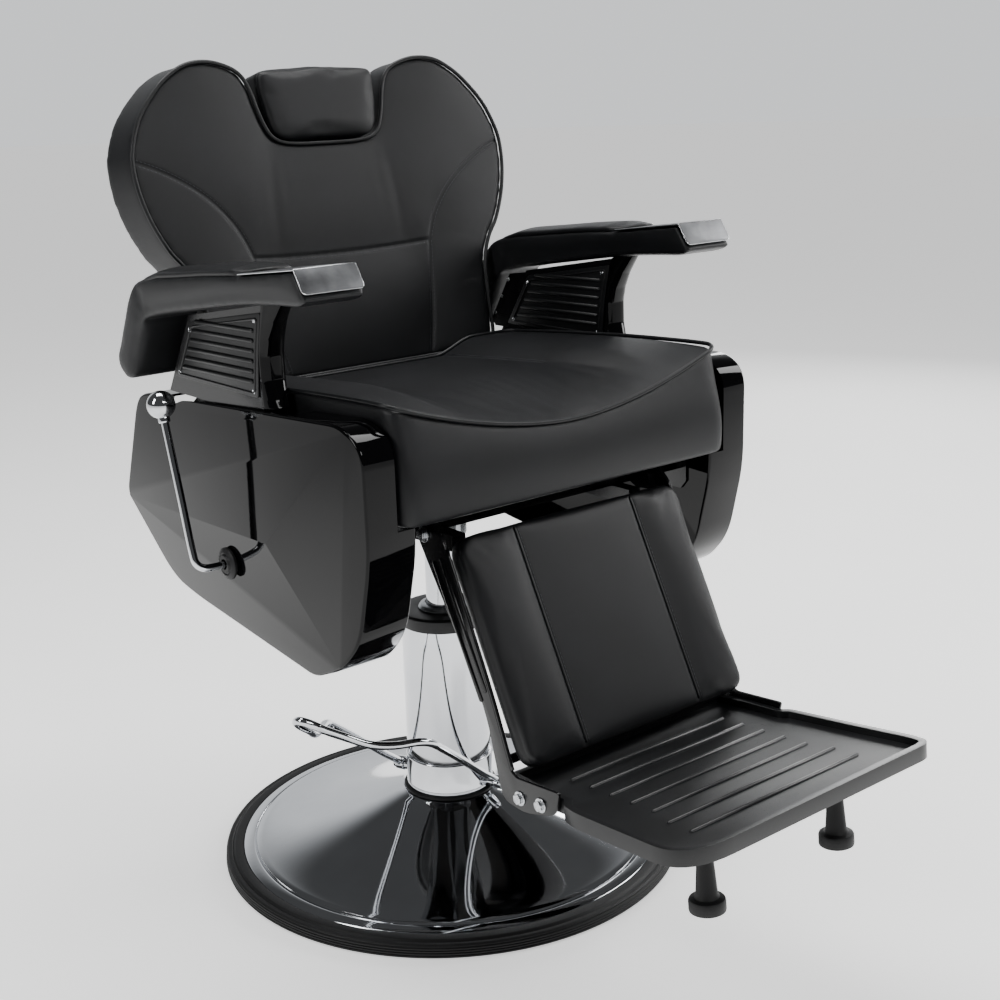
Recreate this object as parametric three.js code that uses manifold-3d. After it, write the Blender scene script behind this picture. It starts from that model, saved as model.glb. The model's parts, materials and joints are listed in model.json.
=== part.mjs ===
// Hydraulic barber chair, as an assembly of separate parts.
// Millimetres. The origin is the centre of the base on the floor, +Z is up,
// the sitter faces -Y, and the sitter's right hand is on the -X side.
import * as THREE from 'three';
import { mergeVertices } from 'three/addons/utils/BufferGeometryUtils.js';
import Module from 'manifold-3d';

const wasm = await Module();
wasm.setup();

// ---------------------------------------------------------------- driving dimensions
const GAP = 0.3;                    // clearance between touching parts
const ROUND = 28;                   // segments around a turned part
const WIDE_ROUND = 48;              // segments around the base
const SMALL_ROUND = 16;             // segments around a pin, bolt or hub
const BEVEL_STEPS = 1;              // facets across a rounded edge

// Base and hydraulic column, radii about the Z axis.
const RING_R = 330;                 // rubber floor ring, outside
const RING_SEAT_R = 304;            // step in the ring that holds the dome
const RING_TOP_Z = 22;
const DOME_STEP_R = 285;            // edge of the dome's flat rim
const DOME_STEP_Z = 24;
const DOME_NECK_R = 66;
const DOME_NECK_Z = 88;
const DOME_WALL = 3;
const DOME_HOLE_R = 55;
const PUMP_R = 44;
const PUMP_TOP_Z = 335;
const COLLAR_R = 62;
const COLLAR_WALL = 6;
const COLLAR_TOP_Z = 141;
const SHROUD_R = 60;
const SHROUD_TOP_Z = 340;
const CAP_R = 62.5;
const CAP_TOP_Z = 360;
const RAM_R = 23;
const RAM_BOTTOM_Z = 110;
const RAM_TOP_Z = 498;

// Foot pump pedal: it pivots on the collar and points this way from above.
const PEDAL_HEADING = 203.6 * Math.PI / 180;
const PEDAL_PIVOT_Z = 103;
const PEDAL_ROD_R = 5.5;
const PEDAL_HUB_Y = 81;             // hub centre, sideways from the column axis

// Seat group.
const MOUNT_Z = 520;                // underside of the mounting plate
const RAIL_Z = 528.6;
const RAIL_X = 147;
const RAIL_SIZE = 20;
const CROSS_SIZE = 25;
const FRONT_TUBE_Y = -206;          // front faces of the two cross tubes
const REAR_TUBE_Y = 82;
const BOARD_Z = 578;
const BOARD_T = 12;
const SEAT_HALF = 263.5;
const SEAT_FRONT_Y = -291;
const SEAT_REAR_Y = 156;
const SEAT_BOTTOM_Z = 592;
const SEAT_TOP_Z = 726;
const SIDE_X = 268;                 // inner face of the side frame plates
const SIDE_T = 6;

// Armrests.
const PANEL_IN = 269;               // armrest panel, inner and outer faces
const PANEL_OUT = 297;
const INSERT_T = 3;
const PAD_IN = 256.5;
const PAD_OUT = 338.5;

// Side covers.
const COVER_IN = 242;
const COVER_OUT = 312;
const COVER_WALL = 3.5;
const COVER_PEAK = 12;              // height of the faceted face's peak

// Backrest, laid out in its own raked plane.
const BACK_RAKE = Math.atan(0.209);
const BACK_DATUM = [0, 192, 850];   // a point on the front face
const BACK_T = 58;
const BACK_BOARD_T = 12;
const RECLINE_AXIS = [185, 640];    // y, z
const CRANK_X = 131;                // inner face of the recline strut's crank
const STRAP_X = 219;
const STRAP_T = 6;

// Leg rest.
const LEG_AXIS = [-226, 556];       // y, z
const LEG_ANGLE = 27.4 * Math.PI / 180;
const LEG_PLATE_IN = 186;
const LEG_PLATE_OUT = 190;
const TRAY_TILT = Math.atan(0.08);
const TRAY_DATUM = [0, -370, 287];  // rear of the footplate's rim, on top
const BUMPER_X = 110.5;

// Recline lever, on the sitter's right.
const LEVER_AXIS = [20, 492];       // y, z
const LEVER_X = -366;
const LEVER_ROD_R = 5;
const KNOB_R = 18;

// ---------------------------------------------------------------- finishes
const finish = (color, roughness, metalness) =>
  new THREE.MeshStandardMaterial({ color, roughness, metalness });
const CHROME = finish(0xd8dadd, 0.08, 1);
const STEEL = finish(0x9a9da1, 0.35, 1);
const BRUSHED = finish(0xa7a9ab, 0.3, 1);
const BLACK_STEEL = finish(0x141416, 0.4, 0.3);
const GLOSS_BLACK = finish(0x0b0b0d, 0.1, 0);
const MATTE_BLACK = finish(0x1b1c1e, 0.55, 0);
const RUBBER = finish(0x18181a, 0.8, 0);
const VINYL = finish(0x17181b, 0.5, 0);
const PLYWOOD = finish(0xb08a5c, 0.7, 0);

// ---------------------------------------------------------------- geometry helpers
/** Joins equal corners and makes the faces point outwards. */
function closed(geometry) {
  const bare = new THREE.BufferGeometry();
  bare.setAttribute('position', geometry.getAttribute('position').clone());
  if (geometry.index) bare.setIndex(geometry.index.clone());
  const merged = mergeVertices(bare, 1e-4);
  const index = merged.index.array;
  const kept = [];
  for (let i = 0; i < index.length; i += 3) {
    const [a, b, c] = [index[i], index[i + 1], index[i + 2]];
    if (a !== b && b !== c && a !== c) kept.push(a, b, c);
  }
  const p = merged.getAttribute('position');
  const corner = (i) => new THREE.Vector3().fromBufferAttribute(p, i);
  let volume = 0;
  for (let i = 0; i < kept.length; i += 3) {
    const [a, b, c] = [corner(kept[i]), corner(kept[i + 1]), corner(kept[i + 2])];
    volume += a.dot(b.cross(c));
  }
  if (volume < 0) kept.reverse();
  merged.setIndex(kept);
  return merged;
}

function toManifold(geometry) {
  const solid = closed(geometry);
  return new wasm.Manifold(new wasm.Mesh({
    numProp: 3,
    vertProperties: Float32Array.from(solid.getAttribute('position').array),
    triVerts: Uint32Array.from(solid.index.array),
  }));
}

function fromManifold(solid) {
  const mesh = solid.getMesh();
  const points = new Float32Array(mesh.numVert * 3);
  for (let i = 0; i < mesh.numVert; i++) {
    for (let k = 0; k < 3; k++) points[3 * i + k] = mesh.vertProperties[mesh.numProp * i + k];
  }
  const geometry = new THREE.BufferGeometry();
  geometry.setAttribute('position', new THREE.BufferAttribute(points, 3));
  geometry.setIndex(Array.from(mesh.triVerts));
  return geometry;
}

const join = (first, ...rest) =>
  fromManifold(rest.reduce((sum, g) => sum.add(toManifold(g)), toManifold(first)));
const cut = (first, ...rest) =>
  fromManifold(rest.reduce((sum, g) => sum.subtract(toManifold(g)), toManifold(first)));

/** A box between two corners. */
function block(low, high) {
  const size = high.map((v, i) => v - low[i]);
  const box = new THREE.BoxGeometry(...size);
  return box.translate(...low.map((v, i) => v + size[i] / 2));
}

/** Turned about Z from a closed list of [radius, height] points. */
function turned(profile, segments = ROUND) {
  const points = profile.map(([r, z]) => new THREE.Vector2(r, z));
  if (profile[0][0] > 0) points.push(points[0].clone());
  return new THREE.LatheGeometry(points, segments).rotateX(Math.PI / 2);
}

/** A plain round bar between two points. */
function bar(from, to, radius, segments = SMALL_ROUND) {
  const a = new THREE.Vector3(...from);
  const b = new THREE.Vector3(...to);
  const along = b.clone().sub(a);
  const rod = new THREE.CylinderGeometry(radius, radius, along.length(), segments);
  const turn = new THREE.Quaternion().setFromUnitVectors(
    new THREE.Vector3(0, 1, 0), along.clone().normalize());
  return rod.applyQuaternion(turn).translate(...a.add(b).multiplyScalar(0.5).toArray());
}

/** A round bar that follows a smooth curve through the points. */
function bentBar(points, radius, steps) {
  const path = new THREE.CatmullRomCurve3(points.map((p) => new THREE.Vector3(...p)));
  const ring = new THREE.Shape().absarc(0, 0, radius, 0, 2 * Math.PI);
  return new THREE.ExtrudeGeometry(ring, {
    steps, curveSegments: 4, extrudePath: path, bevelEnabled: false });
}

function shapeOf(points) {
  return new THREE.Shape(points.map(([u, v]) => new THREE.Vector2(u, v)));
}

/** An outline with every corner rounded by its own radius: points are [u, v, radius]. */
function roundedShape(points) {
  const shape = new THREE.Shape();
  const count = points.length;
  points.forEach(([u, v, r = 0], i) => {
    const here = new THREE.Vector2(u, v);
    const toward = (j) => {
      const edge = new THREE.Vector2(...points[j].slice(0, 2)).sub(here);
      return edge.setLength(Math.min(r, 0.48 * edge.length())).add(here);
    };
    const enter = toward((i + count - 1) % count);
    const leave = toward((i + 1) % count);
    if (i === 0) shape.moveTo(enter.x, enter.y);
    else shape.lineTo(enter.x, enter.y);
    if (r > 0) shape.quadraticCurveTo(u, v, leave.x, leave.y);
  });
  shape.closePath();
  return shape;
}

/** Extrudes an outline of (y, z) from x0 to x1. */
function sideSlab(shape, x0, x1, bevel = 0, curveSegments = 2) {
  const slab = new THREE.ExtrudeGeometry(shape, {
    depth: x1 - x0 - 2 * bevel, curveSegments, bevelEnabled: bevel > 0, bevelSize: bevel,
    bevelThickness: bevel, bevelOffset: -bevel, bevelSegments: BEVEL_STEPS });
  const turn = new THREE.Matrix4().set(0, 0, 1, x0 + bevel, 1, 0, 0, 0, 0, 1, 0, 0, 0, 0, 0, 1);
  return slab.applyMatrix4(turn);
}

/** Extrudes an outline of (x, y) from z0 to z1. */
function flatSlab(shape, z0, z1, bevel = 0, curveSegments = 2) {
  const slab = new THREE.ExtrudeGeometry(shape, {
    depth: z1 - z0 - 2 * bevel, curveSegments, bevelEnabled: bevel > 0, bevelSize: bevel,
    bevelThickness: bevel, bevelOffset: -bevel, bevelSegments: BEVEL_STEPS });
  return slab.translate(0, 0, z0 + bevel);
}

const chair = new THREE.Group();
chair.name = 'barber_chair';

function place(name, geometry, material, parent = chair) {
  const mesh = new THREE.Mesh(closed(geometry), material);
  mesh.name = name;
  parent.add(mesh);
  return mesh;
}

/** Builds a part on both sides: side is -1 on the sitter's right and +1 on the left. */
function bothSides(build) {
  for (const [side, word] of [[-1, 'right'], [1, 'left']]) build(side, word);
}

/** A slab between two distances from the middle plane, on the given side. */
function sidePair(side, shape, near, far, bevel = 0) {
  const [x0, x1] = side > 0 ? [near, far] : [-far, -near];
  return sideSlab(shape, x0, x1, bevel);
}

// ---------------------------------------------------------------- base and pump
function floorRing() {
  const groove = 1.5;
  const profile = [[298, 0], [326, 0], [RING_R, 3], [RING_R, 6], [RING_R - groove, 7.5],
    [RING_R, 9], [RING_R, 12], [RING_R - groove, 13.5], [RING_R, 15], [327, 20],
    [318, RING_TOP_Z], [RING_SEAT_R, RING_TOP_Z], [RING_SEAT_R, 14], [298, 14]];
  place('floor_ring', turned(profile, WIDE_ROUND), RUBBER);
}

function baseDome() {
  const steps = 5;
  const bell = (k) => {
    const t = k / steps;
    const r = DOME_STEP_R + (DOME_NECK_R + 4 - DOME_STEP_R) * t;
    return [r, DOME_STEP_Z + 3 + (DOME_NECK_Z - DOME_STEP_Z - 5) * t ** 1.5];
  };
  const outer = Array.from({ length: steps + 1 }, (_, k) => bell(k));
  const inner = outer.map(([r, z]) => [r - 1, z - DOME_WALL]).reverse();
  const rim = RING_SEAT_R - GAP;
  const profile = [[rim, 14.3], [rim, RING_TOP_Z], [DOME_STEP_R + 2, DOME_STEP_Z], ...outer,
    [DOME_NECK_R, DOME_NECK_Z], [DOME_HOLE_R, DOME_NECK_Z],
    [DOME_HOLE_R, DOME_NECK_Z - DOME_WALL],
    ...inner, [DOME_STEP_R, 20.5], [rim - 4, 18.5], [rim - 4, 14.3]];
  place('base_dome', turned(profile, WIDE_ROUND), CHROME);
}

function pumpColumn() {
  place('pump_base_plate', turned([[0, 0], [110, 0], [110, 8], [0, 8]], WIDE_ROUND), STEEL);
  place('pump_cylinder', turned([[0, 8 + GAP], [PUMP_R, 8 + GAP], [PUMP_R, PUMP_TOP_Z],
    [RAM_R + 0.6, PUMP_TOP_Z], [RAM_R + 0.6, 50], [0, 50]]), STEEL);
  place('collar_seal', turned([[57, 88.3], [64, 88.3], [66, 90], [66, 92.3], [64, 94],
    [57, 94]]), RUBBER);
  const collarIn = COLLAR_R - COLLAR_WALL;
  const collar = turned([[collarIn, 94 + GAP], [COLLAR_R, 94 + GAP],
    [COLLAR_R, COLLAR_TOP_Z - 2], [COLLAR_R - 1, COLLAR_TOP_Z], [collarIn, COLLAR_TOP_Z]]);
  place('pump_collar', join(collar, ...pedalPins()), CHROME);
  place('column_shroud', turned([[SHROUD_R - 4, COLLAR_TOP_Z + GAP],
    [SHROUD_R, COLLAR_TOP_Z + GAP], [SHROUD_R, SHROUD_TOP_Z], [SHROUD_R - 4, SHROUD_TOP_Z]]),
  CHROME);
  place('column_cap', turned([[30, SHROUD_TOP_Z + GAP], [CAP_R, SHROUD_TOP_Z + GAP],
    [CAP_R, CAP_TOP_Z - 2], [CAP_R - 2, CAP_TOP_Z], [30, CAP_TOP_Z]]), MATTE_BLACK);
  place('ram_gland', turned([[RAM_R + 0.6, PUMP_TOP_Z + GAP], [29.7, PUMP_TOP_Z + GAP],
    [29.7, CAP_TOP_Z + GAP], [35, CAP_TOP_Z + GAP], [32, 366], [RAM_R + 0.6, 367]]), STEEL);
  place('ram', turned([[0, RAM_BOTTOM_Z], [RAM_R - 2, RAM_BOTTOM_Z], [RAM_R, RAM_BOTTOM_Z + 2],
    [RAM_R, RAM_TOP_Z - 24], [RAM_R - 3, RAM_TOP_Z], [0, RAM_TOP_Z]]), CHROME);
}

/** Parts of the pedal are drawn pointing along +X and then turned to its heading. */
function pumpPedal() {
  const pedalFrame = new THREE.Group();
  pedalFrame.rotation.z = PEDAL_HEADING;
  chair.add(pedalFrame);
  const side = [[0, PEDAL_HUB_Y, 103], [52, 81, 141], [112, 81, 188], [178, 80, 238],
    [204, 73, 251], [240, 57, 257], [272, 42, 270], [304, 28, 290], [338, 20, 311],
    [352, 13, 324]];
  const route = [...side, [357, 0, 329], ...side.map(([x, y, z]) => [x, -y, z]).reverse()];
  const rod = bentBar(route, PEDAL_ROD_R, 40);
  const hub = (y) => bar([0, y - 7, PEDAL_PIVOT_Z], [0, y + 7, PEDAL_PIVOT_Z], 10);
  const bore = (y) => bar([0, y - 9, PEDAL_PIVOT_Z], [0, y + 9, PEDAL_PIVOT_Z], 5.4);
  const whole = join(rod, hub(PEDAL_HUB_Y), hub(-PEDAL_HUB_Y));
  place('pump_pedal', cut(whole, bore(PEDAL_HUB_Y), bore(-PEDAL_HUB_Y)), CHROME, pedalFrame);
  place('pump_plunger', bar([49.5, 0, 70], [49.5, 0, 130], 4.2), STEEL, pedalFrame);
}

/** Two headed pins welded to the collar, one at each end of the pedal's axis. */
function pedalPins() {
  const pin = [[0, COLLAR_R - 2], [9, COLLAR_R - 2], [9, 73.5], [5, 73.5], [5, 88.5],
    [8, 88.5], [8, 92], [0, 92]];
  return [Math.PI / 2, -Math.PI / 2].map((turn) => turned(pin, SMALL_ROUND).rotateX(turn)
    .rotateZ(PEDAL_HEADING).translate(0, 0, PEDAL_PIVOT_Z));
}

// ---------------------------------------------------------------- seat group
function seatStructure() {
  place('mount_socket', turned([[RAM_R + 0.6, 470], [38, 470], [38, MOUNT_Z - GAP],
    [0, MOUNT_Z - GAP], [0, RAM_TOP_Z + GAP], [RAM_R + 0.6, RAM_TOP_Z + GAP]].reverse()), STEEL);
  place('mount_plate', block([-158, -120, MOUNT_Z], [158, 120, RAIL_Z - GAP]), BLACK_STEEL);
  const railHalf = RAIL_SIZE / 2;
  bothSides((side, word) => {
    place(`seat_rail_${word}`, block([side * RAIL_X - railHalf, -238, RAIL_Z],
      [side * RAIL_X + railHalf, 150, RAIL_Z + RAIL_SIZE]), BLACK_STEEL);
  });
  const crossZ = RAIL_Z + RAIL_SIZE + GAP;
  const crossTube = (y) => block([-SIDE_X + GAP, y, crossZ],
    [SIDE_X - GAP, y + CROSS_SIZE, crossZ + CROSS_SIZE]);
  place('cross_tube_front', join(crossTube(FRONT_TUBE_Y), legLug(-1), legLug(1)), BLACK_STEEL);
  place('cross_tube_rear', crossTube(REAR_TUBE_Y), BLACK_STEEL);
  const board = block([-240, -204, BOARD_Z], [240, 148, BOARD_Z + BOARD_T]);
  const crankSlot = block([CRANK_X - 10, 84, BOARD_Z - 5], [CRANK_X + 15, 160, SEAT_BOTTOM_Z]);
  place('seat_board', cut(board, crankSlot), PLYWOOD);
}

function seatCushion() {
  const half = SEAT_HALF;
  const plan = roundedShape([[-half, SEAT_FRONT_Y, 22], [half, SEAT_FRONT_Y, 22],
    [half, SEAT_REAR_Y, 20], [-half, SEAT_REAR_Y, 20]]);
  place('seat_cushion', flatSlab(plan, SEAT_BOTTOM_Z, SEAT_TOP_Z, 10), VINYL);
}

function sideFrames() {
  const plate = shapeOf([[-215, 532], [-205, 520], [150, 520], [206, 600], [208, 650],
    [185, 662], [150, 687], [-90, 687], [-120, 640], [-215, 580]]);
  bothSides((side, word) => {
    const pin = [[0, 213], [12, 213], [12, 218.6], [8, 218.6], [8, SIDE_X + 1],
      [0, SIDE_X + 1]];
    const solid = turned(pin, SMALL_ROUND).rotateY(side * Math.PI / 2).translate(0, ...RECLINE_AXIS);
    place(`side_frame_${word}`,
      join(sidePair(side, plate, SIDE_X, SIDE_X + SIDE_T), solid), BLACK_STEEL);
  });
}

/** A lug on the front cross tube that carries one leg rest hinge bolt. */
function legLug(side) {
  const [y, z] = LEG_AXIS;
  const lug = shapeOf([[y - 14, z - 12], [y + 10, z - 14], [-200, 550], [-200, 572],
    [y, z + 15], [y - 14, z + 8]]);
  return sidePair(side, lug, 172, 184);
}

function legHinges() {
  const [y, z] = LEG_AXIS;
  bothSides((side, word) => {
    const bolt = [[0, 184 + GAP], [5, 184 + GAP], [5, 191], [10, 191], [10, 197], [0, 197]];
    const solid = turned(bolt, SMALL_ROUND).rotateY(side * Math.PI / 2).translate(0, y, z);
    place(`leg_hinge_bolt_${word}`, solid, CHROME);
  });
}

// ---------------------------------------------------------------- armrests
function armrests() {
  const insert = shapeOf([[-68, 820], [112, 791], [164, 712], [-50, 712], [-54, 770]]);
  const gusset = shapeOf([[96, 797], [158, 789], [204, 716], [196, 706], [150, 706]]);
  const core = shapeOf([[-70, 828], [118, 797], [188, 690], [-56, 690], [-58, 770]]);
  bothSides((side, word) => {
    const body = sidePair(side, core, PANEL_IN, PANEL_OUT);
    const web = sidePair(side, gusset, PANEL_IN, PANEL_IN + INSERT_T);
    place(`arm_panel_${word}`, join(body, web), BLACK_STEEL);
    place(`arm_post_${word}`, armPost(side), GLOSS_BLACK);
    place(`arm_insert_outer_${word}`, ribbedInsert(insert, side, PANEL_OUT + GAP, 1),
      MATTE_BLACK);
    place(`arm_insert_inner_${word}`, ribbedInsert(insert, side, PANEL_IN - GAP, -1),
      MATTE_BLACK);
    armPad(side, word);
  });
}

/** The bright-edged front post, standing in front of the panel's core. */
function armPost(side) {
  const outline = roundedShape([[-104, 832.3, 0], [-70.4, 827.8, 0], [-58.4, 770, 5],
    [-56.4, 702, 0], [-80, 702, 0], [-68, 732, 10], [-67, 770, 14], [-83, 806, 10]]);
  return sidePair(side, outline, PANEL_IN - 3, PANEL_OUT + 3, 2);
}

/** A thin moulded insert with seven pressed ribs: out is +1 away from the middle. */
function ribbedInsert(outline, side, face, out) {
  const [near, far] = out > 0 ? [face, face + INSERT_T] : [face - INSERT_T, face];
  const plate = sidePair(side, outline, near, far);
  const ribs = [];
  for (let k = 0; k < 7; k++) {
    const z = 728 + 12.5 * k;
    const rear = 140 - 7 * k;
    const middle = out > 0 ? far : near;
    const rib = bar([side * middle, -46, z + 4], [side * middle, rear, z - 4], 2.2, 8);
    ribs.push(rib);
  }
  return join(plate, ...ribs);
}

function armPad(side, word) {
  const outline = roundedShape([[-205, 881.4, 0], [-104, 868.2, 0], [-97, 873, 4],
    [-50, 876, 30], [60, 866, 40], [165, 850, 30], [200, 822, 22], [256, 735, 14],
    [230, 705, 10], [205, 718, 12], [160, 797, 12], [-222, 848.5, 0]]);
  place(`arm_pad_${word}`, sidePair(side, outline, PAD_IN, PAD_OUT, 6), VINYL);
  const cap = shapeOf([[-105, 868.8], [-205.3, 882.2], [-223.4, 848], [-234, 848], [-236, 857],
    [-215, 886.5], [-208, 885.4], [-105, 870.8]]);
  place(`arm_cap_${word}`, sidePair(side, cap, PAD_IN, PAD_OUT, 0), BRUSHED);
}

// ---------------------------------------------------------------- side covers
const COVER_OUTLINE = [[-246, 712, 26], [-284, 690, 26], [-284, 560, 30], [-258, 455, 30],
  [-218, 412, 22], [-150, 383, 16], [150, 412, 30], [212, 424, 36], [319, 529, 14],
  [290, 664, 26], [262, 677, 24]];

function sideCovers() {
  const outline = roundedShape(COVER_OUTLINE);
  const centre = new THREE.Vector2(20, 560);
  const shrink = 1 - COVER_WALL / 150;
  const inside = COVER_OUTLINE.map(([y, z, r]) => {
    const p = new THREE.Vector2(y, z).sub(centre).multiplyScalar(shrink).add(centre);
    return [p.x, p.y, r];
  });
  bothSides((side, word) => {
    const shell = sidePair(side, outline, COVER_IN, COVER_OUT);
    const hollow = sidePair(side, roundedShape(inside), COVER_IN - 5, COVER_OUT - COVER_WALL);
    const [near, far] = side > 0 ? [200, PANEL_OUT + 4] : [-PANEL_OUT - 4, -200];
    const armSlot = block([near, -123, 655], [far, 200, 730]);
    const [seatNear, seatFar] = side > 0 ? [200, SIDE_X - 1] : [1 - SIDE_X, -200];
    const seatSlot = block([seatNear, -320, SEAT_BOTTOM_Z - 4], [seatFar, 170, 730]);
    const trimmed = join(cut(shell, hollow, armSlot, seatSlot), coverFacets(side));
    const hole = bar([side * 300, ...LEVER_AXIS], [side * 340, ...LEVER_AXIS], 14);
    place(`side_cover_${word}`, side < 0 ? cut(trimmed, hole) : trimmed, GLOSS_BLACK);
  });
}

/** The raised facets on a cover's outer face: a low pyramid over its outline. */
function coverFacets(side) {
  const foot = [[-262, 690], [-262, 560], [-236, 460], [-150, 398], [200, 432], [302, 529],
    [280, 655], [-120, 690]];
  const peak = [-82, 541];
  const x0 = side * (COVER_OUT - 1);
  const positions = [];
  const index = [];
  for (const [y, z] of foot) positions.push(x0, y, z);
  positions.push(side * (COVER_OUT + COVER_PEAK), ...peak, x0, ...peak);
  const count = foot.length;
  for (let i = 0; i < count; i++) {
    const j = (i + 1) % count;
    index.push(i, j, count, j, i, count + 1);
  }
  const pyramid = new THREE.BufferGeometry();
  pyramid.setAttribute('position', new THREE.Float32BufferAttribute(positions, 3));
  pyramid.setIndex(index);
  return pyramid;
}

function reclineLever() {
  const [y, z] = LEVER_AXIS;
  const grommet = [[7, 0], [13.5, 0], [13.5, 12.2], [20, 12.2], [20, 20], [14, 22], [7, 22]];
  const solid = turned(grommet, 24).rotateY(-Math.PI / 2).translate(-COVER_OUT + 4, y, z);
  place('lever_grommet', solid, RUBBER);
  const knobY = 78;
  const knobZ = 697;
  const rod = bentBar([[-285, y, z], [-330, y, z], [-352, y, z], [-363, y + 2, z + 3],
    [LEVER_X, y + 6, z + 14], [LEVER_X, 49, 592], [LEVER_X, 76, 690]], LEVER_ROD_R, 22);
  place('lever_rod', rod, CHROME);
  const ball = toManifold(new THREE.SphereGeometry(KNOB_R, 20, 12)
    .translate(LEVER_X, knobY, knobZ));
  const socket = toManifold(bar([LEVER_X, 60, 632], [LEVER_X, 76.5, 692], LEVER_ROD_R + 0.5));
  place('lever_knob', fromManifold(ball.subtract(socket)), CHROME);
}

// ---------------------------------------------------------------- backrest
const backFrame = new THREE.Group();
backFrame.position.set(...BACK_DATUM);
backFrame.rotation.x = Math.PI / 2 - BACK_RAKE;
chair.add(backFrame);

/** Half outline of the backrest in its own plane: across, up from the datum, corner radius. */
const BACK_HALF = [[88, 153, 14], [104, 250, 10], [128, 259, 12], [172, 266, 22],
  [214, 259, 24], [252, 240, 26], [288, 196, 34], [306, 146, 34], [303, 100, 30],
  [282, 52, 26], [256, 10, 24], [242, -30, 24], [237, -95, 24], [236, -153, 20]];

function mirrored(half) {
  return [...half, ...half.map(([u, v, r]) => [-u, v, r]).reverse()];
}

/** Places a slab behind the backrest's front plane, from depth0 to depth1. */
function backSlab(shape, depth0, depth1, bevel = 0) {
  return flatSlab(shape, -depth1, -depth0, bevel);
}

function backrest() {
  const outline = roundedShape(mirrored(BACK_HALF));
  const postHole = (x) => bar([x, 180, -30], [x, -20, -30], 9, 12);
  const cushion = cut(backSlab(outline, 0, BACK_T, 10), postHole(45), postHole(-45));
  place('back_cushion', cushion, VINYL, backFrame);
  const board = roundedShape(mirrored(BACK_HALF.map(([u, v, r]) => [u * 0.96, v * 0.97, r])));
  place('back_board', backSlab(board, BACK_T + GAP, BACK_T + BACK_BOARD_T), PLYWOOD, backFrame);
}

function headrest() {
  const pillow = roundedShape([[-98, 158, 22], [98, 158, 22], [101, 254, 26], [-101, 254, 26]]
    .map(([u, v, r]) => [u * 0.86, v, r]));
  place('headrest_pillow', backSlab(pillow, -4, 54, 10), VINYL, backFrame);
  const post = (x) => bar([x, 158 - GAP, -30], [x, 10, -30], 5.5);
  const bridge = block([-50, 155.2, -35], [50, 157.7, -25]);
  place('headrest_frame', join(bridge, post(-45), post(45)), CHROME, backFrame);
}

function backStraps() {
  const [y, z] = RECLINE_AXIS;
  const strap = roundedShape([[y - 16, z - 14, 8], [y + 14, z - 18, 8], [268, 682, 16],
    [302, 880, 6], [279, 885, 6], [251, 735, 10], [246, 692, 12], [226, 672, 8],
    [y - 16, z + 14, 8]]);
  bothSides((side, word) => {
    const plate = sidePair(side, strap, STRAP_X, STRAP_X + STRAP_T);
    const hole = bar([side * 200, y, z], [side * 240, y, z], 8.4);
    place(`back_strap_${word}`, cut(plate, hole), BLACK_STEEL);
  });
  const cross = bar([-STRAP_X + GAP, 236, 663], [STRAP_X - GAP, 236, 663], 9);
  const crank = sideSlab(roundedShape([[224, 660, 4], [246, 660, 4], [222, 580, 20],
    [210, 530, 8], [192, 530, 8], [196, 590, 20]]), CRANK_X, CRANK_X + 5);
  place('recline_cross_tube', join(cross, crank), BLACK_STEEL);
}

function reclineStrut() {
  const strutZ = 538;
  const along = (from, to, radius) => bar([120, from, strutZ], [120, to, strutZ], radius);
  const boreBottomY = -30;
  const mouthY = 70;
  place('strut_cylinder', cut(along(-110, mouthY, 8.5), along(boreBottomY, mouthY + 5, 4.6)),
    BLACK_STEEL);
  place('strut_rod', along(52, 204, 4), CHROME);
}

// ---------------------------------------------------------------- leg rest
const legFrame = new THREE.Group();
legFrame.position.set(0, ...LEG_AXIS);
legFrame.rotation.x = -LEG_ANGLE;
chair.add(legFrame);

function legBrackets() {
  const profile = roundedShape([[-215, 568, 8], [-213, 548, 8], [-331, 370, 60],
    [-351, 292, 30], [-361, 258, 12], [-400, 254, 16], [-455, 271, 12], [-462, 302, 5],
    [-412, 297, 20], [-379, 294, 12], [-341, 388, 60], [-262, 556, 8], [-240, 576, 10]]);
  const flange = roundedShape([[-268, 540, 2], [-341, 388, 60], [-377, 300, 10], [-381, 303, 4],
    [-345, 390, 60], [-272, 540, 2]]);
  bothSides((side, word) => {
    const plate = sidePair(side, profile, LEG_PLATE_IN, LEG_PLATE_OUT);
    const lip = sidePair(side, flange, LEG_PLATE_IN - 3, LEG_PLATE_OUT);
    const hole = bar([side * 170, ...LEG_AXIS], [side * 200, ...LEG_AXIS], 5.4);
    place(`leg_bracket_${word}`, cut(join(plate, lip), hole), BLACK_STEEL);
    const bolt = (y, z) => turned([[0, 0], [9, 0], [9, 5], [7, 7], [0, 7]], SMALL_ROUND)
      .rotateY(side * Math.PI / 2).translate(side * (LEG_PLATE_OUT + GAP), y, z);
    const near = LEG_PLATE_OUT + GAP;
    const washer = sidePair(side, shapeOf([[-395, 268], [-428, 273], [-428, 279], [-395, 274]]),
      near, near + 1.5);
    place(`tray_bolts_${word}`, join(washer, bolt(-393, 271), bolt(-430, 276)), CHROME);
  });
  const barX = LEG_PLATE_IN - GAP;
  place('leg_cross_bar', bar([-barX, -357, 303], [barX, -357, 303], 6), BLACK_STEEL);
}

function calfPad() {
  const half = 182;
  const plan = roundedShape([[-half, -303, 24], [half, -303, 24], [half, -20, 24],
    [-half, -20, 24]]);
  const pad = flatSlab(plan, 0, 36, 12).rotateX(Math.PI / 2).translate(0, -19, 0);
  place('calf_cushion', pad, VINYL, legFrame);
  const board = block([-165, -18.6, -255], [165, -9.6, -30]);
  place('calf_board', board, PLYWOOD, legFrame);
}

const trayFrame = new THREE.Group();
trayFrame.position.set(...TRAY_DATUM);
trayFrame.rotation.x = -TRAY_TILT;
chair.add(trayFrame);

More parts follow.
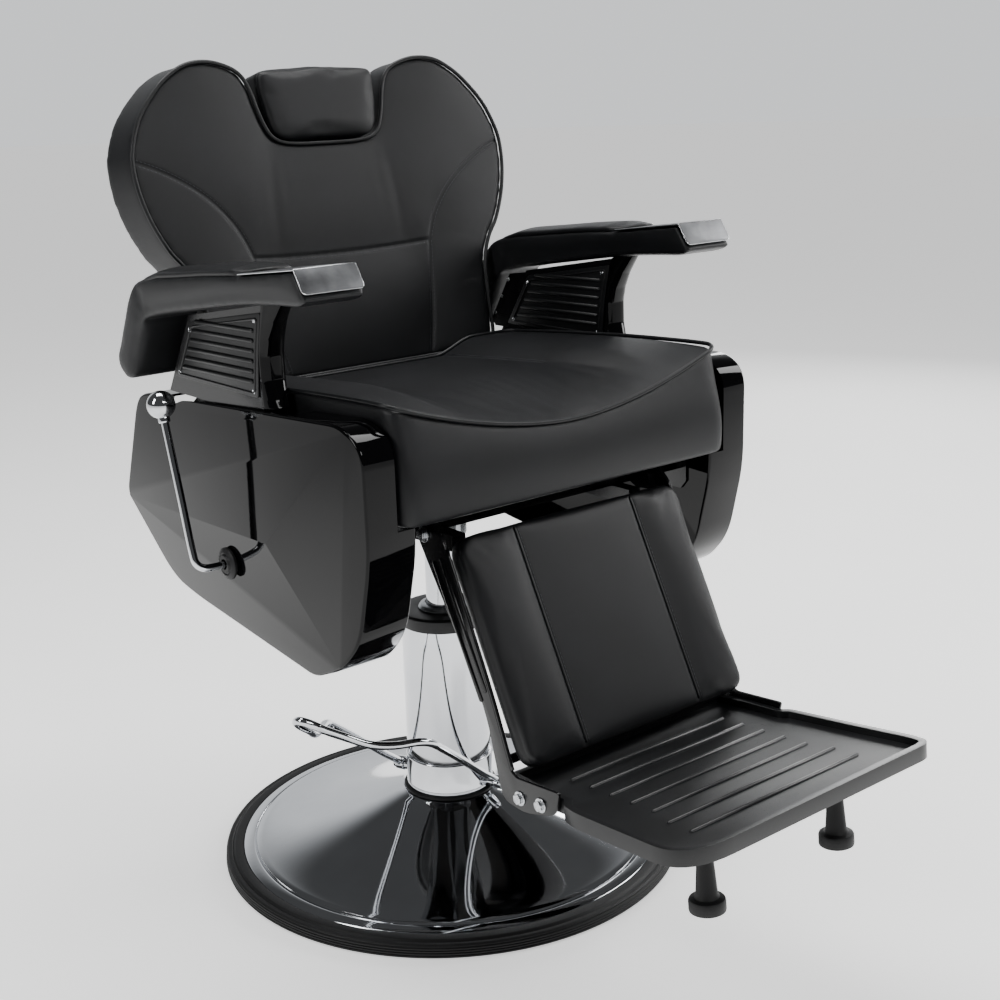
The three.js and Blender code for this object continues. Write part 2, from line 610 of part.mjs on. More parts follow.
function footTray() {
  const rim = [[178, 12, 8], [184, -40, 10], [184.5, -96, 4], [192, -104, 8], [203, -200, 60],
    [213, -270, 10], [212, -302, 24], [-204, -303, 72], [-203, -200, 60], [-202, -130, 20],
    [-196, -106, 6], [-184.5, -96, 4], [-184, -40, 10], [-178, 12, 8]];
  const floor = rim.map(([u, v, r]) => [u * 0.955, v * 0.93 - 6, r]);
  const slab = flatSlab(roundedShape(rim), -19, 0, 2);
  const recess = flatSlab(roundedShape(floor), -9, 5);
  const under = flatSlab(roundedShape(floor), -25, -13);
  const ribs = Array.from({ length: 7 }, (_, k) =>
    bar([-125, -46 - 34 * k, -9], [125, -46 - 34 * k, -9], 2.6, 8));
  place('foot_tray', join(cut(slab, recess, under), ...ribs), MATTE_BLACK, trayFrame);
  for (const [word, x] of [['right', -BUMPER_X], ['left', BUMPER_X]]) {
    const foot = turned([[0, -115], [19, -115], [21, -113], [21, -102], [19, -99], [12.5, -98],
      [7.5, -24], [7.5, -13 - GAP], [0, -13 - GAP]], SMALL_ROUND).translate(x, -237, 0);
    place(`anti_tip_foot_${word}`, foot, RUBBER, trayFrame);
  }
}

// ---------------------------------------------------------------- assembly
floorRing();
baseDome();
pumpColumn();
pumpPedal();
seatStructure();
seatCushion();
sideFrames();
legHinges();
armrests();
sideCovers();
reclineLever();
backrest();
headrest();
backStraps();
reclineStrut();
legBrackets();
calfPad();
footTray();

export default chair;
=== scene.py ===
import json
import math

import bpy
from mathutils import Matrix, Vector
from mathutils.kdtree import KDTree


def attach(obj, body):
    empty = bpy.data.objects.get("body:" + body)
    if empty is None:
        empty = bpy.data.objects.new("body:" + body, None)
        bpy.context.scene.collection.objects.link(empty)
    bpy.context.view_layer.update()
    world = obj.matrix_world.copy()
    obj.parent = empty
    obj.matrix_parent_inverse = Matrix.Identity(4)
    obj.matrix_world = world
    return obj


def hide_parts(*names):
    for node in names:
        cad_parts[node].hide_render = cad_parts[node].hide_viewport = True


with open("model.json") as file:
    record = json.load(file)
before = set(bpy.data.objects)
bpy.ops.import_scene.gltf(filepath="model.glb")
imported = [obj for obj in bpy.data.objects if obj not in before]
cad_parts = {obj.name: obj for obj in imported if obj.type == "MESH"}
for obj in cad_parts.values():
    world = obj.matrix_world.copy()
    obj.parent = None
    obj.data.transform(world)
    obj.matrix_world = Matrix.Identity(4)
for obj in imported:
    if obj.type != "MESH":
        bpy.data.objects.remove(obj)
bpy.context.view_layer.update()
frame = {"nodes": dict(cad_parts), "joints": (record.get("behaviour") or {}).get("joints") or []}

# A hydraulic barber chair. Tables of sizes are in millimetres, and meshes in metres: +Z is up,
# the sitter faces -Y, and the sitter's right hand is on the -X side.
MM = 0.001
SIDES = ((-1, "right"), (1, "left"))
JOINTS = {joint["name"]: joint for joint in frame["joints"]}
X_AXIS = Vector((1, 0, 0))


# ------------------------------------------------------------------ camera and studio
def add_camera():
    """A long lens at seated head height, from the sitter's front right."""
    azimuth, elevation, roll = (math.radians(a) for a in (-38.79, 15.62, -1.78))
    back = Vector((math.sin(azimuth) * math.cos(elevation),
                   -math.cos(azimuth) * math.cos(elevation), math.sin(elevation)))
    right = Vector((math.cos(azimuth), math.sin(azimuth), 0))
    up = back.cross(right)
    turn = Matrix((right, up, back)).transposed() @ Matrix.Rotation(roll, 3, "Z")
    bpy.ops.object.camera_add(location=(-1.2085, -1.64, 1.0818), rotation=turn.to_euler())
    camera = bpy.context.object
    camera.data.lens = 54.79
    camera.data.sensor_width = 36
    bpy.context.scene.camera = camera


def add_light(place, aim, size, power, tint=(1, 1, 1)):
    """A soft box that faces a point."""
    bpy.ops.object.light_add(type="AREA", location=place)
    light = bpy.context.object
    light.rotation_euler = (Vector(aim) - Vector(place)).to_track_quat("-Z", "Y").to_euler()
    light.data.shape = "RECTANGLE"
    light.data.size, light.data.size_y = size
    light.data.energy = power
    light.data.color = tint


def add_world():
    """A dim room with a bright wall behind the chair."""
    world = bpy.data.worlds.new("pale_studio")
    bpy.context.scene.world = world
    world.use_nodes = True
    way = add(world, "ShaderNodeTexCoord").outputs["Generated"]
    ahead = add(world, "ShaderNodeVectorMath", {1: (0.63, 0.78, 0.0)}, {0: way},
                operation="DOT_PRODUCT")
    height = add(world, "ShaderNodeVectorMath", {1: (0.0, 0.0, 1.0)}, {0: way},
                 operation="DOT_PRODUCT")
    wall = add(world, "ShaderNodeMapRange", {"From Min": 0.45, "From Max": 0.85},
               {"Value": ahead.outputs["Value"]}, interpolation_type="SMOOTHSTEP")
    low = add(world, "ShaderNodeMapRange", {"From Min": 0.62, "From Max": 0.34},
              {"Value": height.outputs["Value"]}, interpolation_type="SMOOTHSTEP")
    lit = add(world, "ShaderNodeMath", links={0: wall.outputs["Result"], 1: low.outputs["Result"]},
              operation="MULTIPLY")
    glow = add(world, "ShaderNodeMapRange", {"To Min": 0.075, "To Max": 0.95},
               {"Value": lit.outputs["Value"]})
    shade = world.node_tree.nodes["Background"]
    shade.inputs["Color"].default_value = (0.96, 0.98, 1.0, 1)
    world.node_tree.links.new(glow.outputs["Result"], shade.inputs["Strength"])


def add_studio():
    add_world()
    add_light((0.2, 0.3, 3.0), (0, 0.0, 0.6), (2.6, 1.0), 80)
    add_light((2.6, -1.0, 1.9), (0, -0.1, 0.7), (0.9, 1.8), 55)
    add_light((-2.8, 0.2, 2.2), (0, 0.1, 0.6), (0.7, 1.8), 38)
    add_light((0.1, -3.2, 2.6), (0, 0, 0.5), (1.8, 0.7), 38)
    add_light((3.2, 1.6, 1.5), (0, 0.0, 0.3), (0.8, 1.2), 30)
    bpy.ops.mesh.primitive_circle_add(vertices=96, radius=30, fill_type="NGON")
    floor = bpy.context.object
    floor.name = "studio_floor"
    bpy.ops.object.mode_set(mode="EDIT")
    bpy.ops.mesh.inset(thickness=25)
    bpy.ops.object.mode_set(mode="OBJECT")
    floor.data.materials.append(FLOOR_PAINT)


# ------------------------------------------------------------------ materials
def linear(code):
    """An sRGB hex colour as linear values, with alpha."""
    channels = [int(code[i:i + 2], 16) / 255 for i in (1, 3, 5)]
    return tuple(c / 12.92 if c <= 0.04045 else ((c + 0.055) / 1.055) ** 2.4
                 for c in channels) + (1,)


def add(material, kind, values=None, links=None, **settings):
    """Adds a node: values go on its inputs, and links join them to other nodes' outputs."""
    made = material.node_tree.nodes.new(kind)
    for name, value in settings.items():
        setattr(made, name, value)
    for name, value in (values or {}).items():
        made.inputs[name].default_value = value
    for name, source in (links or {}).items():
        material.node_tree.links.new(source, made.inputs[name])
    return made


def finish_material(name, colours, rough, grain_mm, bump, stretch=(1, 1, 1), mottle_mm=60,
                    cells=False, **surface):
    """A named finish: two colours that drift into each other, a roughness range, and a grain.
    grain_mm is the width of the grain, bump its height in mm, and surface sets shader sockets."""
    material = bpy.data.materials.new(name)
    material.use_nodes = True
    shader = material.node_tree.nodes["Principled BSDF"]
    for socket, value in surface.items():
        shader.inputs[socket.replace("_", " ")].default_value = value
    place = add(material, "ShaderNodeTexCoord").outputs["Object"]
    stretched = add(material, "ShaderNodeMapping", {"Scale": stretch}, {"Vector": place})
    mottle = add(material, "ShaderNodeTexNoise", {"Scale": 1 / (mottle_mm * MM), "Detail": 4.0},
                 {"Vector": place})
    tint = add(material, "ShaderNodeValToRGB", links={"Fac": mottle.outputs["Fac"]})
    tint.color_ramp.elements[0].position = 0.32
    tint.color_ramp.elements[1].position = 0.68
    for stop, code in zip(tint.color_ramp.elements, colours):
        stop.color = linear(code)
    links = material.node_tree.links
    links.new(tint.outputs["Color"], shader.inputs["Base Color"])
    fine = add(material, "ShaderNodeTexNoise", {"Scale": 1 / (grain_mm * MM), "Detail": 3.0},
               {"Vector": stretched.outputs["Vector"]})
    wear = add(material, "ShaderNodeMix", links={"Factor": mottle.outputs["Fac"]})
    wear.inputs["A"].default_value = 0.35
    links.new(fine.outputs["Fac"], wear.inputs["B"])
    span = add(material, "ShaderNodeMapRange", {"To Min": rough[0], "To Max": rough[1],
                                                "From Min": 0.3, "From Max": 0.6},
               {"Value": wear.outputs["Result"]})
    links.new(span.outputs["Result"], shader.inputs["Roughness"])
    height = fine.outputs["Fac"]
    if cells:
        pebbles = add(material, "ShaderNodeTexVoronoi", {"Scale": 1 / (grain_mm * MM)},
                      {"Vector": stretched.outputs["Vector"]}, feature="DISTANCE_TO_EDGE")
        fold = add(material, "ShaderNodeMapRange", {"From Max": 0.22},
                   {"Value": pebbles.outputs["Distance"]}, interpolation_type="SMOOTHSTEP")
        height = fold.outputs["Result"]
    relief = add(material, "ShaderNodeBump", {"Distance": bump * MM, "Strength": 1.0},
                 {"Height": height})
    links.new(relief.outputs["Normal"], shader.inputs["Normal"])
    return material


# PVC leatherette, embossed with a fine pebble: a broad soft gleam over near black.
LEATHERETTE = finish_material("pvc_leatherette", ("#08090b", "#0d0e11"), (0.38, 0.5), 1.0, 0.05,
                              mottle_mm=90, cells=True, Specular_IOR_Level=0.32)
# The same leatherette rolled over cord: rubbed smoother, so it shines more.
PIPING_CORD = finish_material("piping_leatherette", ("#08090b", "#0d0e11"), (0.36, 0.48), 0.9,
                              0.03, mottle_mm=30, Specular_IOR_Level=0.36)
# Twisted polyester thread, a little lighter than what it sews.
THREAD = finish_material("polyester_thread", ("#222328", "#303137"), (0.45, 0.6), 0.7, 0.06,
                         stretch=(1, 3, 1))
# Polished ABS: a deep mirror black with faint moulding waves.
POLISHED_ABS = finish_material("polished_abs", ("#030304", "#060607"), (0.03, 0.07), 38, 0.05,
                               mottle_mm=120, Specular_IOR_Level=0.2)
# Textured nylon, moulded on spark-eroded steel: a satin skin.
TEXTURED_NYLON = finish_material("textured_nylon", ("#08090a", "#0d0e10"), (0.34, 0.46), 0.8,
                                 0.03, mottle_mm=70, Specular_IOR_Level=0.4)
# Polypropylene of the footplate, smoother where shoes have rubbed it.
FOOTPLATE_PP = finish_material("footplate_polypropylene", ("#08090a", "#0e0f11"), (0.26, 0.42),
                               1.0, 0.03, mottle_mm=55, Specular_IOR_Level=0.45)
# Powder coat on steel: black with a fine orange peel.
POWDER_COAT = finish_material("powder_coat", ("#060607", "#0b0b0d"), (0.16, 0.28), 1.6, 0.03,
                              mottle_mm=80, Specular_IOR_Level=0.5)
# Decorative chrome over polished steel: a mirror with the faintest buffing haze.
CHROME = finish_material("polished_chrome", ("#c9cbcf", "#d8dadd"), (0.03, 0.075), 26, 0.012,
                         mottle_mm=140, Metallic=1.0)
# Zinc-plated screw heads.
ZINC = finish_material("zinc_plate", ("#b9bbbf", "#d6d8da"), (0.2, 0.34), 1.2, 0.02,
                       mottle_mm=6, Metallic=1.0)
# Stainless sheet, brushed across the arm.
BRUSHED_STAINLESS = finish_material("brushed_stainless", ("#5d5e60", "#77787a"), (0.34, 0.5),
                                    1.2, 0.012, stretch=(0.03, 1, 1), mottle_mm=24,
                                    Metallic=1.0, Anisotropic=0.4)
# The polished edge of the same sheet.
POLISHED_STAINLESS = finish_material("polished_stainless", ("#c6c8ca", "#dcdee0"), (0.1, 0.18),
                                     8, 0.01, Metallic=1.0)
# Turned bare steel with an oil film.
TURNED_STEEL = finish_material("turned_steel", ("#8f9295", "#b3b6b9"), (0.2, 0.36), 1.0, 0.01,
                               stretch=(1, 1, 8), Metallic=1.0)
# Moulded rubber, dusty matt black.
MOULDED_RUBBER = finish_material("moulded_rubber", ("#0b0b0c", "#121213"), (0.46, 0.64), 1.4,
                                 0.05, mottle_mm=35, Specular_IOR_Level=0.35)
# Moulded cap ring of the column.
CAP_ABS = finish_material("matt_abs", ("#0a0a0b", "#101012"), (0.36, 0.5), 0.9, 0.03,
                          Specular_IOR_Level=0.4)
# Birch plywood, stained black against show-through.
PLYWOOD = finish_material("stained_plywood", ("#120f0c", "#1d1914"), (0.6, 0.78), 5, 0.08,
                          stretch=(1, 0.08, 1), mottle_mm=30)
# The studio floor gives back some light of its own.
FLOOR_PAINT = finish_material("matt_floor_paint", ("#f0f0ef", "#f4f4f3"), (0.75, 0.85), 5, 0.02,
                              mottle_mm=400, Emission_Color=(1, 1, 1, 1), Emission_Strength=0.78)


def paint(piece, *materials):
    piece.data.materials.clear()
    for material in materials:
        piece.data.materials.append(material)


# ------------------------------------------------------------------ modelling helpers
def pick(*objects):
    """Selects these objects alone, and makes the first active."""
    bpy.ops.object.select_all(action="DESELECT")
    for item in objects:
        item.select_set(True)
    bpy.context.view_layer.objects.active = objects[0]


def settle(piece):
    """Moves an object's place into its mesh."""
    pick(piece)
    bpy.ops.object.transform_apply(location=True, rotation=True, scale=True)


def modify(piece, kind, **settings):
    """Adds a modifier and applies it."""
    pick(piece)
    made = piece.modifiers.new(kind.lower(), kind)
    for name, value in settings.items():
        setattr(made, name, value)
    bpy.ops.object.modifier_apply(modifier=made.name)


def edit(piece, *steps):
    """Runs edit-mode steps on everything in the mesh."""
    pick(piece)
    bpy.ops.object.mode_set(mode="EDIT")
    bpy.ops.mesh.select_all(action="SELECT")
    for step in steps:
        step()
    bpy.ops.object.mode_set(mode="OBJECT")


def edit_faces(piece, chosen, *steps):
    """Runs edit-mode steps on the faces a test chooses."""
    edit(piece, lambda: bpy.ops.mesh.select_all(action="DESELECT"))
    for polygon in piece.data.polygons:
        polygon.select = chosen(polygon)
    bpy.ops.object.mode_set(mode="EDIT")
    bpy.ops.mesh.select_mode(type="FACE")
    for step in steps:
        step()
    bpy.ops.mesh.select_mode(type="VERT")
    bpy.ops.object.mode_set(mode="OBJECT")


def smooth(piece, angle=32):
    pick(piece)
    bpy.ops.object.shade_smooth_by_angle(angle=math.radians(angle))


def join(name, *pieces):
    """Joins pieces into one object with this name."""
    pick(*pieces)
    if len(pieces) > 1:
        bpy.ops.object.join()
    pieces[0].name = name
    return pieces[0]


def rounded(corners, steps=7):
    """An outline of (u, v, radius) corners, each turned into a short curve."""
    points = []
    for i, (u, v, radius) in enumerate(corners):
        here = Vector((u, v))
        if radius <= 0:
            points.append(here)
            continue
        ends = []
        for other in (corners[i - 1], corners[(i + 1) % len(corners)]):
            edge = Vector(other[:2]) - here
            ends.append(here + edge.normalized() * min(radius, 0.48 * edge.length))
        for k in range(steps + 1):
            t = k / steps
            points.append(ends[0] * (1 - t) ** 2 + here * 2 * t * (1 - t) + ends[1] * t * t)
    return points


def curve_through(points, steps=8, closed=False):
    """Points along a smooth curve through the given ones (Catmull-Rom)."""
    points = [Vector(p) for p in points]
    count = len(points)
    out = []
    for i in range(count if closed else count - 1):
        if closed:
            a, b, c, d = (points[(i + k) % count] for k in (-1, 0, 1, 2))
        else:
            b, c = points[i], points[i + 1]
            a = points[i - 1] if i > 0 else b * 2 - c
            d = points[i + 2] if i + 2 < count else c * 2 - b
        for k in range(steps):
            t = k / steps
            out.append(0.5 * (2 * b + (c - a) * t + (2 * a - 5 * b + 4 * c - d) * t * t
                              + (3 * b - a - 3 * c + d) * t ** 3))
    return out if closed else out + [points[-1]]


def mirrored(half):
    """Closes a half outline of (u, v, ...) rows with its mirror image."""
    return list(half) + [(-row[0], *row[1:]) for row in reversed(half)]


def slab(name, outline, low, high, axis="z", bevel=0, segments=3, limit=40):
    """Extrudes an outline in millimetres. Axis x takes (y, z) points, and axis z (x, y)."""
    bpy.ops.mesh.primitive_circle_add(vertices=len(outline))
    piece = bpy.context.object
    piece.name = name
    for vertex, (u, v) in zip(piece.data.vertices, outline):
        vertex.co = Vector((low, u, v) if axis == "x" else (u, v, low)) * MM
    travel = Vector((high - low, 0, 0) if axis == "x" else (0, 0, high - low)) * MM
    edit(piece, bpy.ops.mesh.edge_face_add,
         lambda: bpy.ops.mesh.extrude_region_move(TRANSFORM_OT_translate={"value": travel}),
         lambda: bpy.ops.mesh.select_all(action="SELECT"),
         bpy.ops.mesh.normals_make_consistent)
    if bevel:
        modify(piece, "BEVEL", width=bevel * MM, segments=segments, limit_method="ANGLE",
               angle_limit=math.radians(limit))
    return piece


def side_slab(name, side, outline, near, far, **options):
    """A slab between two distances from the middle plane, on one side."""
    low, high = (near, far) if side > 0 else (-far, -near)
    return slab(name, outline, low, high, axis="x", **options)


def turned(name, profile, steps=96, bevel=0, segments=3):
    """Spins a closed (radius, height) profile in millimetres about the Z axis."""
    bpy.ops.mesh.primitive_circle_add(vertices=len(profile))
    piece = bpy.context.object
    piece.name = name
    for vertex, (radius, height) in zip(piece.data.vertices, profile):
        vertex.co = Vector((radius, 0, height)) * MM
    edit(piece, lambda: bpy.ops.mesh.spin(steps=steps, angle=2 * math.pi, center=(0, 0, 0),
                                          axis=(0, 0, 1)),
         lambda: bpy.ops.mesh.select_all(action="SELECT"),
         lambda: bpy.ops.mesh.remove_doubles(threshold=1e-5),
         lambda: bpy.ops.mesh.dissolve_degenerate(threshold=1e-6),
         bpy.ops.mesh.normals_make_consistent)
    if bevel:
        modify(piece, "BEVEL", width=bevel * MM, segments=segments, limit_method="ANGLE",
               angle_limit=math.radians(25))
    return piece


def tube(name, points, radius, closed=False, sides=10, flat=1.0):
    """A round bar along points in metres, with capped ends."""
    data = bpy.data.curves.new(name, "CURVE")
    data.dimensions = "3D"
    data.bevel_depth = radius * MM
    data.bevel_resolution = max(1, sides // 2 - 1)
    data.use_fill_caps = True
    spline = data.splines.new("POLY")
    spline.points.add(len(points) - 1)
    for knot, point in zip(spline.points, points):
        knot.co = (*point, 1)
    spline.use_cyclic_u = closed
    piece = bpy.data.objects.new(name, data)
    bpy.context.scene.collection.objects.link(piece)
    pick(piece)
    bpy.ops.object.convert(target="MESH")
    piece = bpy.context.object
    edit(piece, lambda: bpy.ops.mesh.remove_doubles(threshold=1e-6),
         bpy.ops.mesh.normals_make_consistent)
    for polygon in piece.data.polygons:
        polygon.use_smooth = True
    return piece


def capsule(name, start, end, radius, rings=4, sides=12):
    """A bar with round ends between two points in millimetres."""
    start, end = Vector(start) * MM, Vector(end) * MM
    along = end - start
    bpy.ops.mesh.primitive_uv_sphere_add(segments=sides, ring_count=2 * rings,
                                         radius=radius * MM)
    piece = bpy.context.object
    piece.name = name
    for vertex in piece.data.vertices:
        vertex.co.z += math.copysign(along.length / 2, vertex.co.z) if abs(
            vertex.co.z) > 1e-7 else 0
    piece.matrix_world = (Matrix.Translation((start + end) / 2)
                          @ along.to_track_quat("Z", "Y").to_matrix().to_4x4())
    settle(piece)
    for polygon in piece.data.polygons:
        polygon.use_smooth = True
    return piece


def screw(name, place, out, radius=3.2, height=1.6):
    """A domed cross-head screw at a point in millimetres, facing out."""
    bpy.ops.mesh.primitive_uv_sphere_add(segments=20, ring_count=12, radius=radius * MM)
    piece = bpy.context.object
    piece.name = name
    bottom = [v for v in piece.data.vertices if v.co.z < 0]
    for vertex in piece.data.vertices:
        vertex.co.z *= height / radius
    for vertex in bottom:
        vertex.co.z = -0.2 * MM
    slot_width = radius * 0.26 * MM
    for vertex in piece.data.vertices:
        near_slot = min(abs(vertex.co.x), abs(vertex.co.y)) < slot_width
        if vertex.co.z > 0.5 * height * MM and near_slot:
            vertex.co.z -= 0.5 * height * MM
    piece.matrix_world = (Matrix.Translation(Vector(place) * MM)
                          @ Vector(out).to_track_quat("Z", "Y").to_matrix().to_4x4())
    settle(piece)
    smooth(piece, 45)
    return piece


def bolt_head(name, place, out, radius=9, height=6):
    """A round-edged hexagon head on a washer, facing out."""
    turn = (Matrix.Translation(Vector(place) * MM)
            @ Vector(out).to_track_quat("Z", "Y").to_matrix().to_4x4())
    parts = []
    for sides, size, low, high in ((40, radius, 0, 1.5), (6, radius * 0.74, 1.5, height)):
        bpy.ops.mesh.primitive_cylinder_add(vertices=sides, radius=size * MM,
                                            depth=(high - low) * MM,
                                            location=(0, 0, (low + high) / 2 * MM))
        part = bpy.context.object
        settle(part)
        modify(part, "BEVEL", width=0.7 * MM, segments=3, limit_method="ANGLE",
               angle_limit=math.radians(30))
        parts.append(part)
    piece = join(name, *parts)
    piece.matrix_world = turn
    settle(piece)
    smooth(piece, 30)
    return piece


def put(piece, body, slot, *nodes, materials=()):
    """Paints a piece, sets it on its body and hides the CAD nodes that it stands for."""
    if materials:
        paint(piece, *materials)
    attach(piece, body)
    if nodes:
        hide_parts(*nodes)
    return piece


# ------------------------------------------------------------------ upholstery helpers
def nearest(points):
    tree = KDTree(len(points))
    for i, point in enumerate(points):
        tree.insert(point, i)
    tree.balance()
    return tree


def plump(piece, cap, held, held_width=9, pressure=4.0, voxel=5.0):
    """Swells a pad as a pressurised cloth, pinned near the held points, by at most cap mm."""
    pick(piece)
    piece.data.remesh_voxel_size = voxel * MM
    bpy.ops.object.voxel_remesh()
    seams = nearest(held)
    group = piece.vertex_groups.new(name="sewn")
    for vertex in piece.data.vertices:
        if seams.find(vertex.co)[2] < held_width * MM:
            group.add([vertex.index], 1, "REPLACE")
    before = [v.co.copy() for v in piece.data.vertices]
    cloth = piece.modifiers.new("stuffing", "CLOTH")
    cloth.settings.use_pressure = True
    cloth.settings.uniform_pressure_force = pressure
    cloth.settings.effector_weights.gravity = 0
    cloth.settings.vertex_group_mass = group.name
    cloth.settings.quality = 4
    cloth.point_cache.frame_end = 20
    scene = bpy.context.scene
    for step in range(1, 21):
        scene.frame_set(step)
    posed = piece.evaluated_get(bpy.context.evaluated_depsgraph_get())
    after = [v.co.copy() for v in posed.data.vertices]
    piece.modifiers.remove(cloth)
    piece.vertex_groups.remove(group)
    for vertex, old, new in zip(piece.data.vertices, before, after):
        move = new - old
        reach = cap * MM * math.tanh(move.length / (cap * MM))
        vertex.co = old + (move.normalized() * reach if move.length > 0 else move)
    scene.frame_set(1)
    edit(piece, lambda: bpy.ops.mesh.vertices_smooth(factor=0.5, repeat=3))
    modify(piece, "SUBSURF", levels=1, render_levels=1)
    for polygon in piece.data.polygons:
        polygon.use_smooth = True


def crease(piece, lines, depth=2.2, width=4.5):
    """Draws the surface in along sewn lines."""
    seams = nearest([point for line in lines for point in line])
    normals = [v.normal.copy() for v in piece.data.vertices]
    for vertex, normal in zip(piece.data.vertices, normals):
        gap = seams.find(vertex.co)[2] / (width * MM)
        if gap < 3:
            vertex.co -= normal * depth * MM * math.exp(-gap * gap)


def laid_on(piece, line, toward, lift=0.0):
    """Drops a line of points onto a piece, looking along a direction."""
    out = []
    for point in line:
        start = point - toward * 0.08
        hit, place, normal, _ = piece.ray_cast(start, toward)
        out.append(place - toward * lift * MM if hit else point)
    return out


def even(line, step):
    """Points at even steps (in metres) along a line."""
    out = [line[0]]
    left = step
    for a, b in zip(line, line[1:]):
        span = (b - a).length
        while span > 0 and left <= span:
            a = a.lerp(b, left / span)
            out.append(a)
            span = (b - a).length
            left = step
        left -= span
    return out


def stitches(name, lines, toward, length=4.2, pitch=5.6, radius=0.5):
    """Rows of short raised stitches along lines that already lie on a surface."""
    ring = [(math.cos(a), math.sin(a)) for a in (k * math.pi / 3 for k in range(6))]
    stations = ((-0.5, 0.25), (-0.28, 1.0), (0.28, 1.0), (0.5, 0.25))
    vertices, faces = [], []
    for line in lines:
        knots = even(line, pitch * MM)
        for a, b in zip(knots, knots[1:]):
            along = (b - a).normalized()
            side = along.cross(toward).normalized()
            rise = side.cross(along)
            base = len(vertices)
            for t, scale in stations:
                centre = (a + b) / 2 + along * t * length * MM
                for c, s in ring:
                    vertices.append(centre + (side * c + rise * s) * radius * scale * MM)
            for k in range(len(stations) - 1):
                for i in range(6):
                    j = (i + 1) % 6
                    faces.append((base + 6 * k + i, base + 6 * k + j,
                                  base + 6 * k + 6 + j, base + 6 * k + 6 + i))
            faces.append(tuple(base + i for i in reversed(range(6))))
            faces.append(tuple(base + 18 + i for i in range(6)))
    mesh = bpy.data.meshes.new(name)
    mesh.from_pydata(vertices, [], faces)
    piece = bpy.data.objects.new(name, mesh)
    bpy.context.scene.collection.objects.link(piece)
    edit(piece, bpy.ops.mesh.normals_make_consistent)
    for polygon in piece.data.polygons:
        polygon.use_smooth = True
    return piece


def shifted(line, toward, distance):
    """A line beside another, in the surface that faces the direction."""
    out = []
    for i, point in enumerate(line):
        along = line[min(i + 1, len(line) - 1)] - line[max(i - 1, 0)]
        out.append(point + along.cross(toward).normalized() * distance * MM)
    return out


def frame_of(origin, up):
    """A piece's own axes: across, up, and out of its front."""
    up = Vector(up).normalized()
    front = X_AXIS.cross(up)
    return Matrix.Translation(Vector(origin) * MM) @ Matrix(
        (X_AXIS, up, front)).transposed().to_4x4()


def placed(matrix, u, v, w=0.0):
    """A point from a piece's own axes, in millimetres, to the chair's, in metres."""
    return matrix @ (Vector((u, v, w)) * MM)


# ------------------------------------------------------------------ base and pump
PEDAL_HEADING = math.radians(203.6)
PEDAL_TURN = Matrix.Rotation(PEDAL_HEADING, 4, "Z")
PEDAL_PIVOT_Z = JOINTS["pedal_pump"]["pos_m"][2] / MM
PEDAL_HUB = 81
RAM_R = 23


def floor_ring():
    profile = [(298, 0), (324, 0), (329, 2.4)]
    for k in range(4):
        z = 3.4 + 3.4 * k
        profile += [(330 - 0.35 * k, z), (330 - 0.35 * k, z + 1.9), (328 - 0.35 * k, z + 2.6)]
    profile += [(328, 18.4), (325.5, 20), (321, 20), (319.6, 18.8), (318, 20.4), (316, 22),
                (304.3, 22), (304.3, 14), (298, 14)]
    ring = turned("rubber_floor_ring", profile, steps=160, bevel=0.4, segments=2)
    smooth(ring)
    put(ring, "base", "rubber", "floor_ring", materials=[MOULDED_RUBBER])


def base_dome():
    bell = []
    for k in range(25):
        t = k / 24
        bell.append((284.6 - 214.6 * t, 26.6 + 59.4 * t ** 1.5))
    top = [(303.7, 15), (303.7, 20.6), (302.6, 22), (290, 24.4), (287.6, 24.2), (286.6, 22.4),
           (285.6, 22.4)]
    neck = [(68, 87.4), (66, 88), (55, 88), (55, 85)]
    under = [(r - 1, z - 3) for r, z in reversed(bell)]
    dome = turned("chrome_base_dome", top + bell + neck + under + [(285, 19.4), (300, 18), (300, 15)],
                  steps=160, bevel=0.5, segments=2)
    smooth(dome, 28)
    put(dome, "base", "chrome", "base_dome", materials=[CHROME])


